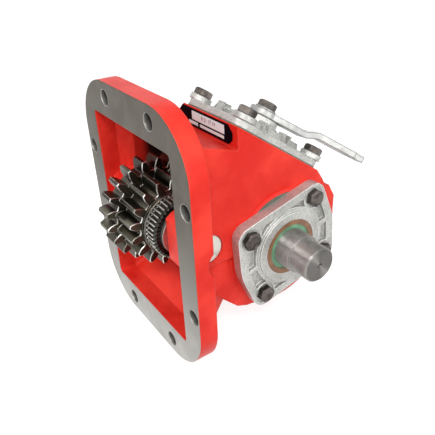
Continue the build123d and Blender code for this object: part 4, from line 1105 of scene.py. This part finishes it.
class TAKEOFF_OT_cluster(bpy.types.Operator):
    """Cut the idler cluster: input gear, pinion, shoulder and serrated collar"""

    bl_idname = "takeoff.cluster"
    bl_label = "Idler Cluster"

    def execute(self, context):
        sizes = settings().gears
        drive_far, pinion_far, near, shoulder_near, collar_near = cluster_places()
        edge = sizes.edge
        made = gear_material("Cluster Steel", sizes.collar_radius,
                             ((near - edge, near), (pinion_far - edge, pinion_far)))
        pieces = [
            spur_teeth("drive", sizes.drive_teeth, drive_far, pinion_far,
                       sizes.drive_phase, made),
            spur_teeth("pinion", sizes.pinion_teeth, pinion_far - edge, near,
                       sizes.pinion_phase, made),
            collar_teeth(shoulder_near - edge, collar_near, made),
            cluster_core(made),
        ]
        whole = join("idler_cluster", pieces, made, 28.0)
        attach(whole, "cluster_body")
        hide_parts("cluster_gear")
        return {"FINISHED"}


def turned_way(first, second, degrees):
    """Give the direction that is turned by degrees from the first way to the second."""
    angle = math.radians(degrees)
    return first * math.cos(angle) + second * math.sin(angle)


def cover_seats():
    """Give the seats of the four screws of the shift cover."""
    seats = []
    for row, turn in COVER_SCREWS:
        for side in (-1, 1):
            place = COVER_MIDDLE + X_WAY * (side * COVER_SCREW_ACROSS)
            place += SLOPE_DOWN * (row * COVER_SCREW_ALONG) + SLOPE_OUT * COVER_SEAT
            way = turned_way(X_WAY, SLOPE_DOWN, turn + COVER_SCREW_SPREAD * side)
            seats.append((place, SLOPE_OUT, way))
    return seats


def lever_seats():
    """Give the seat of the lever's one screw."""
    way = turned_way(X_WAY, SLOPE_DOWN, LEVER_SCREW_TURN)
    return [(COVER_MIDDLE + SLOPE_OUT * LEVER_SEAT, SLOPE_OUT, way)]


def bearing_seats():
    """Give the seats of the four screws of the bearing cover."""
    first = turned_way(Y_WAY, Z_WAY, BEARING_TURN)
    second = X_WAY.cross(first)
    wide, high = BEARING_SCREW_REACH
    seats = []
    for side, row, turn in BEARING_SCREWS:
        place = SHAFT_LINE + first * (side * wide) + second * (row * high) + X_WAY * BEARING_SEAT
        seats.append((place, X_WAY, turned_way(Y_WAY, Z_WAY, turn)))
    return seats


def cap_seats():
    """Give the seats of the four screws of the rear cap."""
    seats = []
    for corner in range(4):
        way = turned_way(Y_WAY, Z_WAY, 45 + 90 * corner)
        place = SHAFT_LINE + CAP_SCREW_RADIUS * way - X_WAY * CAP_SEAT
        seats.append((place, -X_WAY, Y_WAY))
    return seats


def screw_set(name, seats, made, body):
    """Place hex screws at seats given as place, facing and a direction across one flat."""
    marks = plain_mesh(name + "_seats", [place for place, facing, side in seats], [])
    aims = marks.attributes.new("aim", "QUATERNION", "POINT")
    for number, (place, facing, side) in enumerate(seats):
        across = facing.cross(side).normalized()
        turn = Matrix((across.cross(facing), across, facing)).transposed()
        aims.data[number].value = turn.to_quaternion()
    seat_object = new_object(name + "_seats", marks)
    piece = grow(name + "_grown", screw_mesh(name), "Place Each",
                 {"Seats": seat_object, "Material": made})
    bpy.data.objects.remove(seat_object)
    piece = join(name + "_hex", [piece], made, 20.0)
    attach(piece, body)
    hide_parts(name)


class TAKEOFF_OT_screws(bpy.types.Operator):
    """Place the hex screws of the covers and the lever"""

    bl_idname = "takeoff.screws"
    bl_label = "Hex Screws"

    def execute(self, context):
        made = screw_material()
        screw_set("cover_screws", cover_seats(), made, "housing_body")
        screw_set("lever_screw", lever_seats(), made, "lever_body")
        screw_set("bearing_screws", bearing_seats(), made, "housing_body")
        screw_set("cap_screws", cap_seats(), made, "housing_body")
        return {"FINISHED"}


def field_mesh():
    """Make the thin silver fields, a little proud of the plate."""
    whole = bmesh.new()
    for left, right, foot, top in FIELDS:
        corners = [(left, foot), (right, foot), (right, top), (left, top)]
        back, face = (
            [whole.verts.new((x * MM, depth, z * MM)) for x, z in corners]
            for depth in (PLATE_FRONT, PLATE_FRONT - FIELD_PROUD))
        whole.faces.new(face)
        for number in range(4):
            after = (number + 1) % 4
            whole.faces.new((face[number], back[number], back[after], face[after]))
        whole.faces.new(list(reversed(back)))
    bmesh.ops.recalc_face_normals(whole, faces=whole.faces)
    mesh = bpy.data.meshes.new("plate_fields")
    whole.to_mesh(mesh)
    whole.free()
    return mesh


def figure_mesh(context):
    """Make the flat figures of the plate at their place."""
    words = bpy.data.curves.new("plate_figures", "FONT")
    words.body = FIGURES
    words.size = FIGURE_HEIGHT
    words.align_x = "CENTER"
    words.resolution_u = 2
    carrier = new_object("plate_words", words)
    across, high = FIGURES_MIDDLE
    carrier.location = (across, PLATE_FRONT - FIELD_PROUD * 1.3, high)
    carrier.rotation_euler = (math.pi / 2, 0.0, 0.0)
    context.view_layer.update()
    graph = context.evaluated_depsgraph_get()
    flat = bpy.data.meshes.new_from_object(carrier.evaluated_get(graph), depsgraph=graph)
    flat.transform(carrier.matrix_world)
    bpy.data.objects.remove(carrier)
    return flat


class TAKEOFF_OT_plate(bpy.types.Operator):
    """Print the bare silver fields of the name plate and their figures"""

    bl_idname = "takeoff.plate"
    bl_label = "Name Plate Fields"

    def execute(self, context):
        fields = new_object("plate_fields", field_mesh())
        fields.data.materials.append(silver_material())
        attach(fields, "housing_body")
        figures = new_object("plate_figures", figure_mesh(context))
        figures.data.materials.clear()
        figures.data.materials.append(soft_material("Plate Ink", INK, 0.6))
        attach(figures, "housing_body")
        return {"FINISHED"}


class TakeOffSettings(bpy.types.PropertyGroup):
    """All settings of the unit."""

    finish: PointerProperty(type=FinishSettings)
    gears: PointerProperty(type=GearSettings)
    screws: PointerProperty(type=ScrewSettings)


STEPS = (TAKEOFF_OT_stage, TAKEOFF_OT_housing, TAKEOFF_OT_metals, TAKEOFF_OT_cluster,
         TAKEOFF_OT_screws, TAKEOFF_OT_plate)


class TAKEOFF_PT_panel(bpy.types.Panel):
    """Buttons for the unit's pieces"""

    bl_idname = "TAKEOFF_PT_panel"
    bl_label = "Power Take Off"
    bl_space_type = "VIEW_3D"
    bl_region_type = "UI"
    bl_category = "Power Take Off"

    def draw(self, context):
        layout = self.layout
        for step in STEPS:
            layout.operator(step.bl_idname)
        for group in (settings().finish, settings().gears, settings().screws):
            box = layout.box()
            for key in group.bl_rna.properties.keys():
                if key not in ("rna_type", "name"):
                    box.prop(group, key)


CLASSES = (FinishSettings, GearSettings, ScrewSettings, TakeOffSettings, *STEPS, TAKEOFF_PT_panel)


def register():
    for made in CLASSES:
        bpy.utils.register_class(made)
    bpy.types.Scene.take_off = PointerProperty(type=TakeOffSettings)


def unregister():
    del bpy.types.Scene.take_off
    for made in reversed(CLASSES):
        bpy.utils.unregister_class(made)


def main():
    """Build every piece."""
    register()
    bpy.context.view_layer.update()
    for step in STEPS:
        group, name = step.bl_idname.split(".")
        getattr(getattr(bpy.ops, group), name)()


if __name__ == "__main__":
    main()
